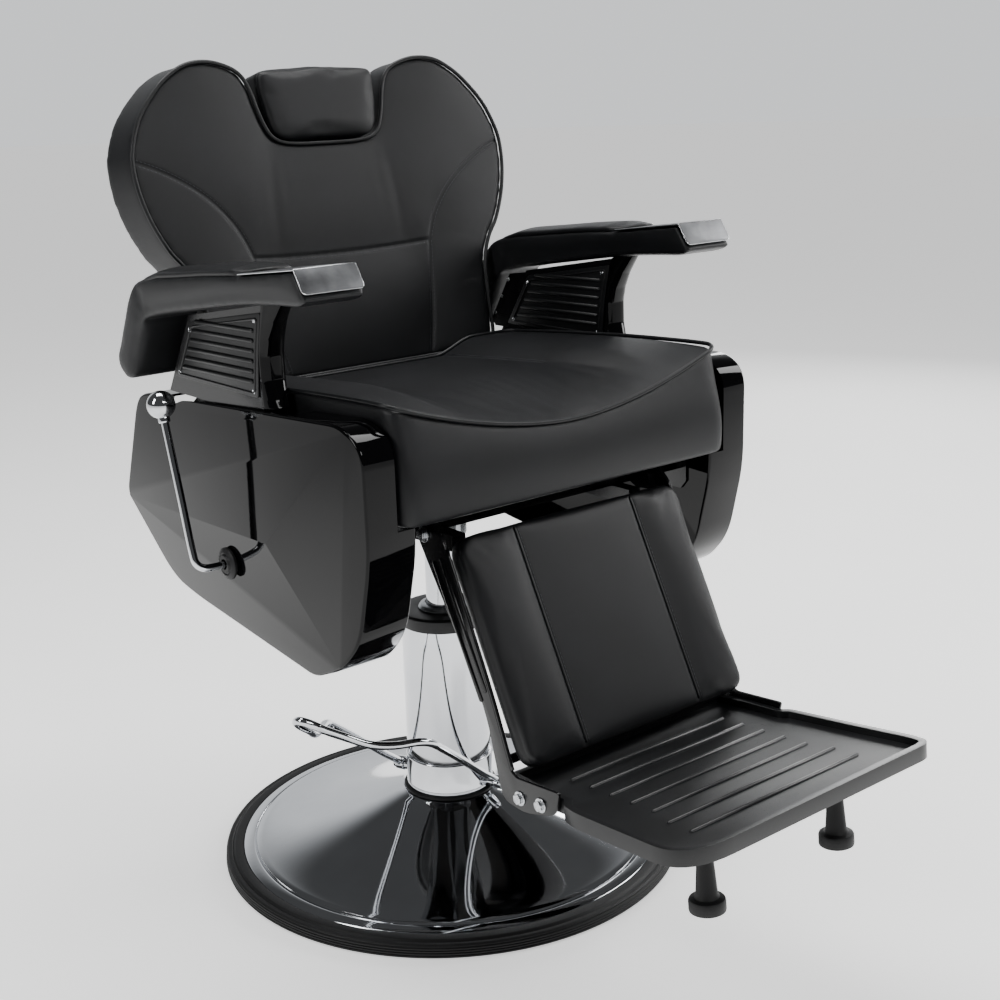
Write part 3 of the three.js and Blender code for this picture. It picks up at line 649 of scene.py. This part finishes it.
def pump_column():
    seal = turned("collar_seal_ring", [(57, 88.3), (64, 88.3), (66.4, 89.6), (67, 91.2),
                                       (66.4, 92.8), (64, 94), (57, 94)], bevel=0.5)
    smooth(seal)
    put(seal, "base", "rubber", "collar_seal", materials=[MOULDED_RUBBER])
    collar = turned("pedal_collar", [(56, 94.3), (62.6, 94.3), (62.6, 101), (62, 102.5),
                                     (62, 139), (61, 141), (56, 141)], bevel=0.7)
    smooth(collar, 28)
    parts = [collar]
    for hand in (-1, 1):
        for radius, near, far in ((9, 60, 73.5), (5.2, 73, 89), (8, 88.5, 92)):
            bpy.ops.mesh.primitive_cylinder_add(
                vertices=32, radius=radius * MM, depth=(far - near) * MM,
                location=(0, hand * (near + far) / 2 * MM, 0), rotation=(math.pi / 2, 0, 0))
            stub = bpy.context.object
            settle(stub)
            modify(stub, "BEVEL", width=0.8 * MM, segments=3, limit_method="ANGLE",
                   angle_limit=math.radians(40))
            stub.matrix_world = Matrix.Translation((0, 0, PEDAL_PIVOT_Z * MM)) @ PEDAL_TURN
            settle(stub)
            smooth(stub, 30)
            parts.append(stub)
    put(join("pedal_collar", *parts), "base", "chrome", "pump_collar", materials=[CHROME])
    shroud = turned("chrome_column", [(57, 141.4), (59.4, 141.4), (60, 142.4), (60, 339.4),
                                      (57, 339.4)], steps=128)
    smooth(shroud, 28)
    put(shroud, "base", "chrome", "column_shroud", materials=[CHROME])
    cap = turned("column_cap_ring", [(30, 340.3), (61.6, 340.3), (62.5, 341.4), (62.5, 357),
                                     (60, 360), (30, 360)], bevel=0.6)
    smooth(cap)
    put(cap, "base", "black_cap", "column_cap", materials=[CAP_ABS])
    gland = turned("ram_gland_ring", [(RAM_R + 0.5, 335.3), (29.7, 335.3), (29.7, 360.3),
                                      (35, 360.3), (35, 362), (32, 366), (26, 367),
                                      (RAM_R + 0.5, 366)], bevel=0.4)
    smooth(gland)
    put(gland, "base", "bare_steel", "ram_gland", materials=[TURNED_STEEL])
    ram = turned("chromed_ram", [(0, 110), (21, 110), (RAM_R, 112), (RAM_R, 474), (20, 498),
                                 (0, 498)], steps=72)
    smooth(ram)
    put(ram, "ram", "chrome", "ram", materials=[CHROME])


def pump_pedal():
    half = [(0, PEDAL_HUB, 103), (26, 81, 122), (52, 81, 141), (112, 81, 188), (160, 81, 224),
            (184, 79, 241), (206, 72, 250), (240, 57, 257), (272, 42, 269), (304, 28, 290),
            (334, 19, 310), (348, 14, 321), (355, 6, 327)]
    line = half + [(357, 0, 328.5)] + [(s, -w, z) for s, w, z in reversed(half)]
    path = [PEDAL_TURN @ (Vector(p) * MM) for p in curve_through(line, steps=6)]
    rod = tube("pump_pedal_bar", path, 5.4, sides=16)
    parts = [rod]
    for hand in (-1, 1):
        hub = turned("hub", [(5.5, -6.5), (10, -6.5), (10, 6.5), (5.5, 6.5)], steps=48, bevel=0.9)
        hub.matrix_world = (Matrix.Translation((0, hand * PEDAL_HUB * MM, 0))
                            @ Matrix.Rotation(math.pi / 2, 4, "X"))
        settle(hub)
        hub.matrix_world = Matrix.Translation((0, 0, PEDAL_PIVOT_Z * MM)) @ PEDAL_TURN
        settle(hub)
        smooth(hub, 30)
        parts.append(hub)
    put(join("pump_pedal_bar", *parts), "pedal", "chrome", "pump_pedal", materials=[CHROME])


# ------------------------------------------------------------------ side covers and lever
COVER_NEAR, COVER_FAR, COVER_PEAK = 242, 312, 12
COVER_OUTLINE = ((-246, 712, 26), (-284, 690, 26), (-284, 560, 30), (-258, 455, 30),
                 (-218, 412, 22), (-150, 383, 16), (150, 412, 30), (212, 424, 36),
                 (319, 529, 14), (290, 664, 26), (262, 677, 24))
COVER_APEX = (-82, 541)
COVER_CORNERS = ((326, 523), (-268, 716), (-236, 398))     # rear, top front, bottom front
LEVER_AXIS = Vector(JOINTS["lever_pull"]["pos_m"]) / MM


def box_cutter(low, high):
    low, high = Vector(low) * MM, Vector(high) * MM
    bpy.ops.mesh.primitive_cube_add(size=1, location=(low + high) / 2, scale=high - low)
    cutter = bpy.context.object
    settle(cutter)
    return cutter


def take_away(piece, cutter):
    """Cuts one mesh out of another and removes the cutter."""
    modify(piece, "BOOLEAN", object=cutter, operation="DIFFERENCE", solver="MANIFOLD")
    bpy.data.objects.remove(cutter)


def side_cover(side, word):
    cover = side_slab(f"side_cover_shell_{word}", side, rounded(COVER_OUTLINE, 8), COVER_NEAR,
                      COVER_FAR + COVER_PEAK + 6)
    apex = Vector((side * (COVER_FAR + COVER_PEAK), *COVER_APEX)) * MM
    corners = [Vector((side * COVER_FAR, y, z)) * MM for y, z in COVER_CORNERS]
    for i in range(3):
        a, b = corners[i], corners[(i + 1) % 3]
        normal = (a - apex).cross(b - apex).normalized()
        if normal.x * side < 0:
            normal.negate()
        edit(cover, lambda n=normal: bpy.ops.mesh.bisect(
            plane_co=apex, plane_no=n, clear_outer=True, use_fill=True))
    edit(cover, bpy.ops.mesh.normals_make_consistent)
    modify(cover, "BEVEL", width=6.5 * MM, segments=6, limit_method="ANGLE",
           angle_limit=math.radians(35))
    edit_faces(cover, lambda f: abs(abs(f.center.x) - COVER_NEAR * MM) < 0.3 * MM
               and abs(f.normal.x) > 0.95, lambda: bpy.ops.mesh.delete(type="FACE"))
    modify(cover, "SOLIDIFY", thickness=3.4 * MM, offset=-1)
    arm = (200, 301.4) if side > 0 else (-301.4, -200)
    seat = (200, 268) if side > 0 else (-268, -200)
    take_away(cover, box_cutter((arm[0], -124, 655), (arm[1], 201, 740)))
    take_away(cover, box_cutter((seat[0], -330, 587), (seat[1], 172, 740)))
    smooth(cover, 30)
    tip = [v.index for v in cover.data.vertices if (v.co - apex).length < 1.0 * MM]
    for edge in cover.data.edges:
        if edge.vertices[0] in tip or edge.vertices[1] in tip:
            edge.use_edge_sharp = True
    put(cover, "seat", "gloss_shell", f"side_cover_{word}", materials=[POLISHED_ABS])


def recline_lever():
    y, z = LEVER_AXIS.y, LEVER_AXIS.z
    grommet = turned("lever_grommet_ring", [(7, 0), (13.4, 0), (13.4, 11.6), (20, 11.6),
                                            (21, 12.6), (21, 15.4), (19.6, 17), (15, 18.6),
                                            (13.4, 17.6), (11, 20), (7, 20)], steps=64)
    grommet.matrix_world = (Matrix.Translation((-308 * MM, y * MM, z * MM))
                            @ Matrix.Rotation(-math.pi / 2, 4, "Y"))
    settle(grommet)
    smooth(grommet)
    put(grommet, "seat", "rubber", "lever_grommet", materials=[MOULDED_RUBBER])
    x = -366
    line = [(-286, y, z), (-318, y, z), (-344, y, z), (-357, y + 1, z + 2), (-364.5, y + 4, z + 9),
            (x, y + 8, z + 22), (x, y + 18, z + 58), (x, 49, 592), (x, 76, 690)]
    rod = tube("lever_bar", [Vector(p) * MM for p in curve_through(line, 7)], 4.9, sides=16)
    put(rod, "lever", "chrome", "lever_rod", materials=[CHROME])
    bpy.ops.mesh.primitive_uv_sphere_add(segments=56, ring_count=32, radius=18 * MM)
    knob = bpy.context.object
    for vertex in knob.data.vertices:
        vertex.co.z = max(vertex.co.z, -16.6 * MM)
    knob.matrix_world = (Matrix.Translation(Vector((x, 78, 697)) * MM)
                         @ Matrix.Rotation(math.radians(-15), 4, "X"))
    settle(knob)
    neck = turned("lever_ferrule", [(0, -23), (6.6, -23), (7.4, -21.5), (7.4, -15), (0, -15)],
                  steps=40, bevel=0.5)
    neck.matrix_world = (Matrix.Translation(Vector((x, 78, 697)) * MM)
                         @ Matrix.Rotation(math.radians(-15), 4, "X"))
    settle(neck)
    smooth(neck)
    smooth(knob, 40)
    put(join("lever_ball_knob", knob, neck), "lever", "chrome", "lever_knob", materials=[CHROME])


# ------------------------------------------------------------------ armrests
PAD_NEAR, PAD_FAR = 256.5, 338.5
PANEL_NEAR, PANEL_FAR = 269, 297
INSERT_OUTLINE = ((-67, 819, 4), (112, 790, 5), (163, 713, 4), (-49, 713, 4), (-52, 735, 60),
                  (-56, 770, 60))
INSERT_SCREWS = ((-52, 808), (112, 779), (148, 720), (-40, 720))
ARM_SEAM = ((-230, 884), (-88, 868), (-67, 869), (-6, 864), (60, 857), (129, 850), (180, 842))


def arm_top(y):
    """Height of the seam between an armrest's side and its crown, at y."""
    for (a, za), (b, zb) in zip(ARM_SEAM, ARM_SEAM[1:]):
        if y <= b:
            return za + (zb - za) * (y - a) / (b - a)
    return ARM_SEAM[-1][1]


POST_FRONT = ((702, -80), (712, -75), (735, -67.5), (765, -67), (785, -72), (807, -84),
              (828, -100), (840, -109))


def arm_post(side, word):
    """A nosed front post: it is rounded in plan, and hollowed in side view."""
    nose = [(y, z, 0) for z, y in POST_FRONT[:-1]] + [(-104, 833.5, 2)]
    outline = rounded(nose + [(-70.4, 828, 0), (-57.4, 770, 60), (-55.4, 702, 0)], 6)
    post = side_slab(f"arm_post_shell_{word}", side, outline, PANEL_NEAR - 3, PANEL_FAR + 3)
    pick(post)
    post.data.remesh_voxel_size = 1.3 * MM
    bpy.ops.object.voxel_remesh()
    middle, half = (PANEL_NEAR + PANEL_FAR) / 2, (PANEL_FAR - PANEL_NEAR) / 2 + 3
    for vertex in post.data.vertices:
        across = min(1, abs(abs(vertex.co.x) / MM - middle) / half)
        rear = -57.4 - max(0, vertex.co.z / MM - 770) * 0.22
        ahead = max(0, rear - vertex.co.y / MM)
        vertex.co.y = (rear - ahead * math.sqrt(1 - 0.96 * across ** 2.6)
                       if ahead > 0 else vertex.co.y / MM) * MM
    edit(post, lambda: bpy.ops.mesh.vertices_smooth(factor=0.5, repeat=2))
    smooth(post, 50)
    put(post, "seat", "gloss_shell", f"arm_post_{word}", materials=[POLISHED_ABS])


def arm_insert(side, word, where):
    """A moulded side insert: a bordered plate with six round-ended ribs and four screws."""
    outward = where == "outer"
    near, far = ((PANEL_FAR + 0.3, PANEL_FAR + 3.2) if outward
                 else (PANEL_NEAR - 3.2, PANEL_NEAR - 0.3))
    face = far if outward else near
    out = side if outward else -side
    plate = side_slab(f"arm_insert_{where}_{word}_ribbed", side, rounded(INSERT_OUTLINE, 5),
                      near, far, bevel=0.8)
    smooth(plate)
    border = [Vector((side * face, y, z)) * MM for y, z in rounded(
        [(-59, 811, 5), (107, 784, 6), (150, 718, 5), (-42, 718, 5), (-45, 738, 60),
         (-50, 772, 60)], 6)]
    parts = [plate, tube("border", border, 1.5, closed=True, sides=10)]
    for k in range(6):
        z = 731 + 12.6 * k
        parts.append(capsule("rib", (side * face, -38 - 1.6 * k, z + 1.5),
                             (side * face, 134 - 8.4 * k, z - 2), 3.1, rings=5, sides=16))
    plate = join(plate.name, *parts)
    put(plate, "seat", "ribbed_insert", f"arm_insert_{where}_{word}", materials=[TEXTURED_NYLON])
    heads = [screw("screw", (side * face, y, z), (out, 0, 0)) for y, z in INSERT_SCREWS]
    put(join(f"insert_screws_{where}_{word}", *heads), "seat", "bare_steel", materials=[ZINC])


def gusset_screws(side, word):
    spots = ((161, 780), (178, 753), (195, 726))
    heads = [screw("screw", (side * PANEL_NEAR, y, z), (-side, 0, 0), radius=3) for y, z in spots]
    put(join(f"gusset_screws_{word}", *heads), "seat", "bare_steel", materials=[ZINC])


def arm_pad(side, word):
    outline = rounded([(-206.6, 881, 2), (-88, 867, 20), (-40, 866, 30), (60, 856, 60),
                       (140, 848, 50), (186, 838, 34), (212, 808, 30), (232, 776, 60),
                       (255.5, 734, 10), (252, 718, 8), (229, 704.5, 8), (212, 710, 6),
                       (203, 732, 40), (186, 764, 40), (166, 795, 16), (103, 807, 50),
                       (-14, 824, 80), (-91, 835, 60), (-170, 842, 30), (-221, 844.5, 6),
                       (-229, 851, 4), (-226.5, 853.5, 0)], 6)
    pad = side_slab(f"armrest_upholstery_{word}", side, outline, PAD_NEAR + 0.6, PAD_FAR - 0.6,
                    bevel=7, segments=4, limit=50)
    held = [Vector((side * x, y, arm_top(y))) * MM for x in (PAD_NEAR + 1, PAD_FAR - 1)
            for y in range(-205, 180, 4)]
    held += [Vector((side * x, -207 - 0.7 * (881 - z), z)) * MM for z in range(846, 882, 3)
             for x in range(258, 340, 4)]
    plump(pad, cap=2.5, held=held, held_width=7, voxel=4.0)
    crease(pad, [[Vector((side * x, y, arm_top(y) - 2)) * MM for y in range(-84, 180, 2)]
                 for x in (PAD_NEAR, PAD_FAR)], depth=1.6, width=3)
    put(pad, "seat", "vinyl", f"arm_pad_{word}", materials=[LEATHERETTE])
    middle = (PAD_NEAR + PAD_FAR) / 2
    tongue = [(middle + side_x, y) for side_x, y in (
        (40, 120), (40, 40), (40, -50), (36, -82), (22, -101), (0, -108), (-22, -101),
        (-36, -82), (-40, -50), (-40, 40), (-40, 120), (-34, 168), (0, 176), (34, 168))]
    plan = curve_through([(side * x, y) for x, y in tongue], 6, closed=True)
    crown = slab(f"armrest_crown_{word}", [tuple(p) for p in plan], -4, 4.5, bevel=3, segments=3)
    plump(crown, cap=4.5, held=[Vector((x, y, -1)) * MM for x, y in plan], held_width=5,
          voxel=3.5)
    for vertex in crown.data.vertices:
        y = vertex.co.y / MM
        across = min(abs(abs(vertex.co.x) / MM - middle) / 41, 1)
        arch = 2.5 * (1 - across ** 2) if vertex.co.z > 0 else 0
        vertex.co.z += (arm_top(y) + arch - max(0, y - 120) * 0.12) * MM
    put(crown, "seat", "vinyl", materials=[LEATHERETTE])


def arm_cap(side, word):
    """A folded stainless plate: its rear goes under the crown, and its front faces down."""
    low, high = (PAD_NEAR, PAD_FAR) if side > 0 else (-PAD_FAR, -PAD_NEAR)
    thick = 1.7
    rise = math.atan2(884.6 - 870.2, 211 - 88)
    top = slab("plate_top", [(low, -123.8), (high, -123.8), (high, 0), (low, 0)], 0, thick,
               bevel=0.7)
    top.matrix_world = (Matrix.Translation(Vector((0, -88, 868.6)) * MM)
                        @ Matrix.Rotation(-rise, 4, "X"))
    settle(top)
    drop = 32.5
    front = slab("plate_front", rounded([(low, 0, 0), (high, 0, 0), (high, -drop, 7),
                                         (low, -drop, 7)]), 0, thick, bevel=0.7)
    lean = math.atan2(229.4 - 210.8, 884.6 - 857)
    front.matrix_world = (Matrix.Translation(Vector((0, -209.6, 884.2)) * MM)
                          @ Matrix.Rotation(math.pi / 2 - lean, 4, "X"))
    settle(front)
    plate = join(f"arm_cap_plate_{word}", top, front)
    smooth(plate, 30)
    paint(plate, BRUSHED_STAINLESS, POLISHED_STAINLESS)
    faces = (Vector((0, math.sin(rise), math.cos(rise))),
             Vector((0, -math.cos(lean), math.sin(lean))))
    for polygon in plate.data.polygons:
        flat = max(abs(polygon.normal.dot(f)) for f in faces)
        polygon.material_index = 0 if flat > 0.985 else 1
    put(plate, "seat", "brushed_cap", f"arm_cap_{word}")


# ------------------------------------------------------------------ seat
SEAT_HALF, SEAT_FRONT, SEAT_REAR, SEAT_LOW, SEAT_HIGH = 263.5, -291, 156, 592, 726


def step(value):
    """Eases from 0 to 1."""
    t = min(max(value, 0), 1)
    return t * t * (3 - 2 * t)


def seat_top(x, y):
    """Height of the seat's top: it falls to the rear, dips in the middle, and its front
    edge hangs in a curve between the corners."""
    side = 729 - 18 * max(0, (y + 270) / 329) ** 1.5
    across = min(abs(x) / 264, 1)
    ahead = 1 - step((y + 285) / 215)
    hang = 21 + 33 * ahead
    bolster = 1 - step((abs(x) - 118) / 72)
    return side - hang * ((1 - across ** 1.8) * ahead + bolster * (1 - ahead))


def seat_point(x, y, z):
    """Moves a point of the plain block to the seat's shape."""
    share = (z - SEAT_LOW) / (SEAT_HIGH - SEAT_LOW)
    top = seat_top(x, y)
    height = SEAT_LOW - 3 + share * (top - SEAT_LOW + 3)
    lean = 20 * step(max(0, height - 610) / 120) - 5
    bulge = 4 * math.sin(math.pi * share)
    return x, y + (lean - bulge) * (1 - step((y - SEAT_FRONT) / 120)), height


def seat_cushion():
    plan = rounded([(-SEAT_HALF, SEAT_FRONT, 24), (SEAT_HALF, SEAT_FRONT, 24),
                    (SEAT_HALF, SEAT_REAR, 20), (-SEAT_HALF, SEAT_REAR, 20)], 8)
    cushion = slab("seat_upholstery", plan, SEAT_LOW, SEAT_HIGH, bevel=4, segments=2)
    pick(cushion)
    cushion.data.remesh_voxel_size = 8 * MM
    bpy.ops.object.voxel_remesh()
    for vertex in cushion.data.vertices:
        vertex.co = Vector(seat_point(*(vertex.co / MM))) * MM
    long_plan = []
    for a, b in zip(plan, plan[1:] + plan[:1]):
        pieces = max(1, int((b - a).length / 12))
        long_plan += [a.lerp(b, k / pieces) for k in range(pieces)]
    edge = [Vector(seat_point(x, y, SEAT_HIGH)) * MM for x, y in long_plan]
    foot = [Vector(seat_point(x, y, SEAT_LOW)) * MM for x, y in long_plan]
    seams = [[Vector((x, y, seat_top(x, y))) * MM for y in range(150, -84, -3)]
             for x in (-130, 130)]
    held = even(edge + edge[:1], 4 * MM) + even(foot + foot[:1], 4 * MM) + seams[0] + seams[1]
    held += [Vector((x, SEAT_REAR, z)) * MM for x in range(-252, 253, 7)
             for z in range(590, 684, 7)]
    held += [Vector((x, y, SEAT_LOW - 3)) * MM for x in range(-252, 253, 7)
             for y in range(-282, 154, 7)]
    plump(cushion, cap=6, held=held, held_width=7, voxel=5.5)
    crease(cushion, seams, depth=2.0, width=3.2)
    put(cushion, "seat", "vinyl", "seat_cushion", materials=[LEATHERETTE])
    down = Vector((0, 0, -1))
    rows = [laid_on(cushion, shifted(line, down, gap), down) for line in seams
            for gap in (-3.6, 3.6)]
    put(stitches("seat_stitching", rows, down), "seat", "vinyl", materials=[THREAD])
    welt = [p + Vector((math.copysign(1.2, p.x), 0, 0.4)) * MM for p in edge]
    put(tube("seat_piping", welt, 2.9, closed=True), "seat", "vinyl", materials=[PIPING_CORD])


# ------------------------------------------------------------------ backrest
BACK_FRAME = frame_of((0, 192, 850), JOINTS["headrest_height"]["axis"])
BACK_DEPTH = 70
BACK_EDGE = ((0, 151), (42, 151.5), (72, 155), (88, 164), (97, 180), (104, 202), (110, 226),
             (120, 246), (138, 258), (170, 265.5), (205, 262), (236, 246), (262, 223),
             (286, 193), (302, 156), (306, 128), (303, 94), (293, 57), (276, 21), (258, -3),
             (245, -30), (239, -62), (237, -100), (236, -144), (230, -160), (212, -167),
             (120, -169), (0, -169))
WING_SEAM = ((302, 139), (272, 127), (243, 112), (216, 94), (192, 73), (173, 50), (160, 28),
             (149, 0))
WAIST_SEAM = ((149, 0), (143, -50), (134, -110), (122, -167))


def dish(u):
    """How far the middle of the backrest lies behind its wings."""
    return 8 * (1 - step((abs(u) - 95) / 130))


def back_cushion():
    half = curve_through(BACK_EDGE, 5)
    outline = [tuple(p) for p in half] + [(-p.x, p.y) for p in reversed(half[1:-1])]
    cushion = slab("back_upholstery", outline, -BACK_DEPTH, 0, bevel=3, segments=2, limit=50)
    pick(cushion)
    cushion.data.remesh_voxel_size = 7 * MM
    bpy.ops.object.voxel_remesh()
    for vertex in cushion.data.vertices:
        u, v, w = vertex.co / MM
        flare = 1 - 0.022 * w / BACK_DEPTH
        vertex.co = Vector((u * flare, v * flare, w - dish(u) * max(0, 1 + w / BACK_DEPTH))) * MM
        vertex.co = BACK_FRAME @ vertex.co
    rim = [placed(BACK_FRAME, u, v, -dish(u)) for u, v in outline]
    rear = [placed(BACK_FRAME, u * 1.022, v * 1.022, -BACK_DEPTH) for u, v in outline]
    lines = []
    for hand in (-1, 1):
        for seam in (WING_SEAM, WAIST_SEAM):
            flat = curve_through([(hand * u, v) for u, v in seam], 12)
            lines.append([placed(BACK_FRAME, u, v, -dish(u)) for u, v in flat])
    lines.append([placed(BACK_FRAME, u, -4.5 * (1 - (u / 149) ** 2), -dish(u))
                  for u in range(-149, 150, 3)])
    held = even(rim + rim[:1], 4 * MM) + even(rear + rear[:1], 4 * MM)
    held += [p for line in lines for p in line]
    plump(cushion, cap=7, held=held, held_width=6.5, voxel=5.0)
    crease(cushion, lines, depth=1.9, width=3.0)
    put(cushion, "back", "vinyl", "back_cushion", "back_board", materials=[LEATHERETTE])
    toward = -BACK_FRAME.col[2].to_3d()
    rows = [laid_on(cushion, shifted(line, toward, gap), toward)
            for line in lines[:4] for gap in (-3.4, 3.4)]
    rows += [laid_on(cushion, shifted(lines[4], toward, gap), toward) for gap in (-3.2,)]
    put(stitches("back_stitching", rows, toward), "back", "vinyl", materials=[THREAD])
    welt = [placed(BACK_FRAME, u, v, 0.8 - dish(u)) for u, v in outline]
    put(tube("back_piping", welt, 2.9, closed=True), "back", "vinyl", materials=[PIPING_CORD])


def headrest_pillow():
    outline = rounded(mirrored([(0, 156, 0), (84, 157, 24), (94, 205, 90), (97, 254, 16),
                                (0, 257, 0)])[:-1], 8)
    outline = [tuple(p) for p in outline]
    pillow = slab("headrest_upholstery", outline, -52, 0, bevel=9, segments=5, limit=50)
    pillow.matrix_world = BACK_FRAME
    settle(pillow)
    flat_rear = [placed(BACK_FRAME, u, v, -52) for u in range(-91, 92, 7)
                 for v in range(160, 255, 7)]
    plump(pillow, cap=3, held=flat_rear, voxel=4.0)
    side_seams = [[placed(BACK_FRAME, u, v, -12) for u, v in outline]]
    crease(pillow, side_seams, depth=1.2, width=2.5)
    put(pillow, "headrest", "vinyl", "headrest_pillow", materials=[LEATHERETTE])


# ------------------------------------------------------------------ leg rest
LEG_AXIS = Vector(JOINTS["leg_raise"]["pos_m"]) / MM
LEG_ANGLE = math.radians(27.4)
LEG_FRAME = frame_of((0, LEG_AXIS.y, LEG_AXIS.z), (0, math.sin(LEG_ANGLE), math.cos(LEG_ANGLE)))
LEG_NEAR, LEG_FAR = 186, 190
TRAY_FRAME = (Matrix.Translation(Vector((0, -370, 287)) * MM)
              @ Matrix.Rotation(-math.atan(0.08), 4, "X"))


def leg_brackets():
    profile = rounded([(-215, 568, 8), (-213, 548, 8), (-331, 370, 60), (-351, 292, 30),
                       (-361, 258, 12), (-400, 254, 16), (-455, 271, 12), (-462, 302, 5),
                       (-412, 297, 20), (-379, 294, 12), (-341, 388, 60), (-262, 556, 8),
                       (-240, 576, 10)], 7)
    lip = [(-266, 545), (-304, 466), (-341, 388), (-362, 338), (-377, 300)]
    ribs = (((-245, 524), (-326, 374)), ((-259, 531), (-334, 388)))
    for side, word in SIDES:
        plate = side_slab(f"leg_bracket_pressed_{word}", side, profile, LEG_NEAR, LEG_FAR,
                          bevel=0.9)
        smooth(plate)
        parts = [plate]
        for a, b in ribs:
            parts.append(capsule("rib", (side * LEG_FAR, *a), (side * LEG_FAR, *b), 3.0))
        edge = [Vector((side * (LEG_NEAR + 1.2), y, z)) * MM for y, z in curve_through(lip, 8)]
        parts.append(tube("rolled_edge", edge, 2.6))
        put(join(plate.name, *parts), "legrest", "black_steel", f"leg_bracket_{word}",
            materials=[POWDER_COAT])
        heads = [bolt_head("bolt", (side * (LEG_FAR + 0.2), y, z), (side, 0, 0))
                 for y, z in ((-393, 271), (-430, 276))]
        put(join(f"tray_bolt_heads_{word}", *heads), "legrest", "chrome", f"tray_bolts_{word}",
            materials=[ZINC])
        hinge = bolt_head("hinge", (side * 190.5, LEG_AXIS.y, LEG_AXIS.z), (side, 0, 0),
                          radius=10, height=6.5)
        put(join(f"leg_hinge_bolt_head_{word}", hinge), "seat", "chrome",
            f"leg_hinge_bolt_{word}", materials=[ZINC])


def calf_cushion():
    half, low, high, rear, face = 182, -303, -20, 19.6, 54
    outline = rounded([(-half, low, 26), (half, low, 26), (half, high, 26), (-half, high, 26)], 8)
    outline = [tuple(p) for p in outline]
    pad = slab("calf_upholstery", outline, rear, face - 3, bevel=8, segments=4)
    pad.matrix_world = LEG_FRAME
    settle(pad)
    seams = [[placed(LEG_FRAME, u, v, face - 3) for v in range(low + 8, high - 4, 3)]
             for u in (-96, 96)]
    flat_rear = [placed(LEG_FRAME, u, v, rear) for u in range(-180, 181, 7)
                 for v in range(low + 2, high, 7)]
    plump(pad, cap=9, held=seams[0] + seams[1] + flat_rear, held_width=6.5, voxel=4.5)
    crease(pad, seams, depth=2.0, width=3.2)
    box_seam = [placed(LEG_FRAME, u * 0.995, v, face - 13) for u, v in outline]
    crease(pad, [even(box_seam + box_seam[:1], 2 * MM)], depth=1.0, width=2.6)
    put(pad, "legrest", "vinyl", "calf_cushion", materials=[LEATHERETTE])
    toward = -LEG_FRAME.col[2].to_3d()
    rows = [laid_on(pad, shifted(line, toward, gap), toward) for line in seams
            for gap in (-4, 4)]
    put(stitches("calf_stitching", rows, toward), "legrest", "vinyl", materials=[THREAD])
    welts = [tube("welt", laid_on(pad, line, toward, lift=0.6), 1.7) for line in seams]
    put(join("calf_piping", *welts), "legrest", "vinyl", materials=[PIPING_CORD])


def foot_tray():
    rim = rounded([(178, 12, 8), (184, -40, 10), (184.5, -96, 4), (192, -104, 8),
                   (203, -200, 60), (213, -270, 10), (212, -302, 24), (-204, -303, 72),
                   (-203, -200, 60), (-202, -130, 20), (-196, -106, 6), (-184.5, -96, 4),
                   (-184, -40, 10), (-178, 12, 8)], 9)
    tray = slab("footplate_moulding", [tuple(p) for p in rim], -19, 0)
    for face_z, depth, wall in ((0, -9, 9), (-19, 6, 5)):
        edit_faces(tray, lambda f: len(f.vertices) > 20
                   and abs(f.center.z - face_z * MM) < 0.1 * MM,
                   lambda: bpy.ops.mesh.inset(thickness=wall * MM),
                   lambda: bpy.ops.mesh.extrude_region_move(
                       TRANSFORM_OT_translate={"value": (0, 0, depth * MM)}))
    modify(tray, "BEVEL", width=2.2 * MM, segments=4, limit_method="ANGLE",
           angle_limit=math.radians(50))
    smooth(tray, 40)
    parts = [tray]
    for k in range(7):
        y = -44 - 34 * k
        reach = 128 if k < 5 else 138
        parts.append(capsule("rib", (-reach, y, -9.6), (reach, y, -9.6), 3.4, sides=20))
    tray = join(tray.name, *parts)
    tray.matrix_world = TRAY_FRAME
    settle(tray)
    put(tray, "legrest", "foot_tray", "foot_tray", materials=[FOOTPLATE_PP])
    for side, word in SIDES:
        foot = turned(f"anti_tip_rubber_{word}", [(0, -115), (19, -115), (20.6, -114), (21, -112.6),
                                                  (21, -102), (20, -99.8), (17, -98.8),
                                                  (14.5, -98), (12.4, -94), (7.6, -28),
                                                  (7.6, -13.4), (0, -13.4)], steps=56)
        foot.matrix_world = TRAY_FRAME @ Matrix.Translation(Vector((side * 110.5, -237, 0)) * MM)
        settle(foot)
        smooth(foot)
        put(foot, "legrest", "rubber", f"anti_tip_foot_{word}", materials=[MOULDED_RUBBER])


# ------------------------------------------------------------------ carried-over frame
KEPT = {
    POWDER_COAT: ("mount_plate", "seat_rail_right", "seat_rail_left", "cross_tube_front",
                  "cross_tube_rear", "side_frame_right", "side_frame_left", "back_strap_right",
                  "back_strap_left", "recline_cross_tube", "strut_cylinder", "leg_cross_bar",
                  "arm_panel_right", "arm_panel_left"),
    TURNED_STEEL: ("pump_base_plate", "pump_cylinder", "pump_plunger", "mount_socket"),
    CHROME: ("strut_rod", "headrest_frame"),
    PLYWOOD: ("seat_board", "calf_board"),
}


def paint_frame():
    for material, names in KEPT.items():
        for name in names:
            paint(frame["nodes"][name], material)
            smooth(frame["nodes"][name], 30)


# ------------------------------------------------------------------ the chair
add_camera()
add_studio()
floor_ring()
base_dome()
pump_column()
pump_pedal()
for hand, side_word in SIDES:
    side_cover(hand, side_word)
    arm_post(hand, side_word)
    for face_word in ("outer", "inner"):
        arm_insert(hand, side_word, face_word)
    gusset_screws(hand, side_word)
    arm_pad(hand, side_word)
    arm_cap(hand, side_word)
recline_lever()
seat_cushion()
back_cushion()
headrest_pillow()
leg_brackets()
calf_cushion()
foot_tray()
paint_frame()
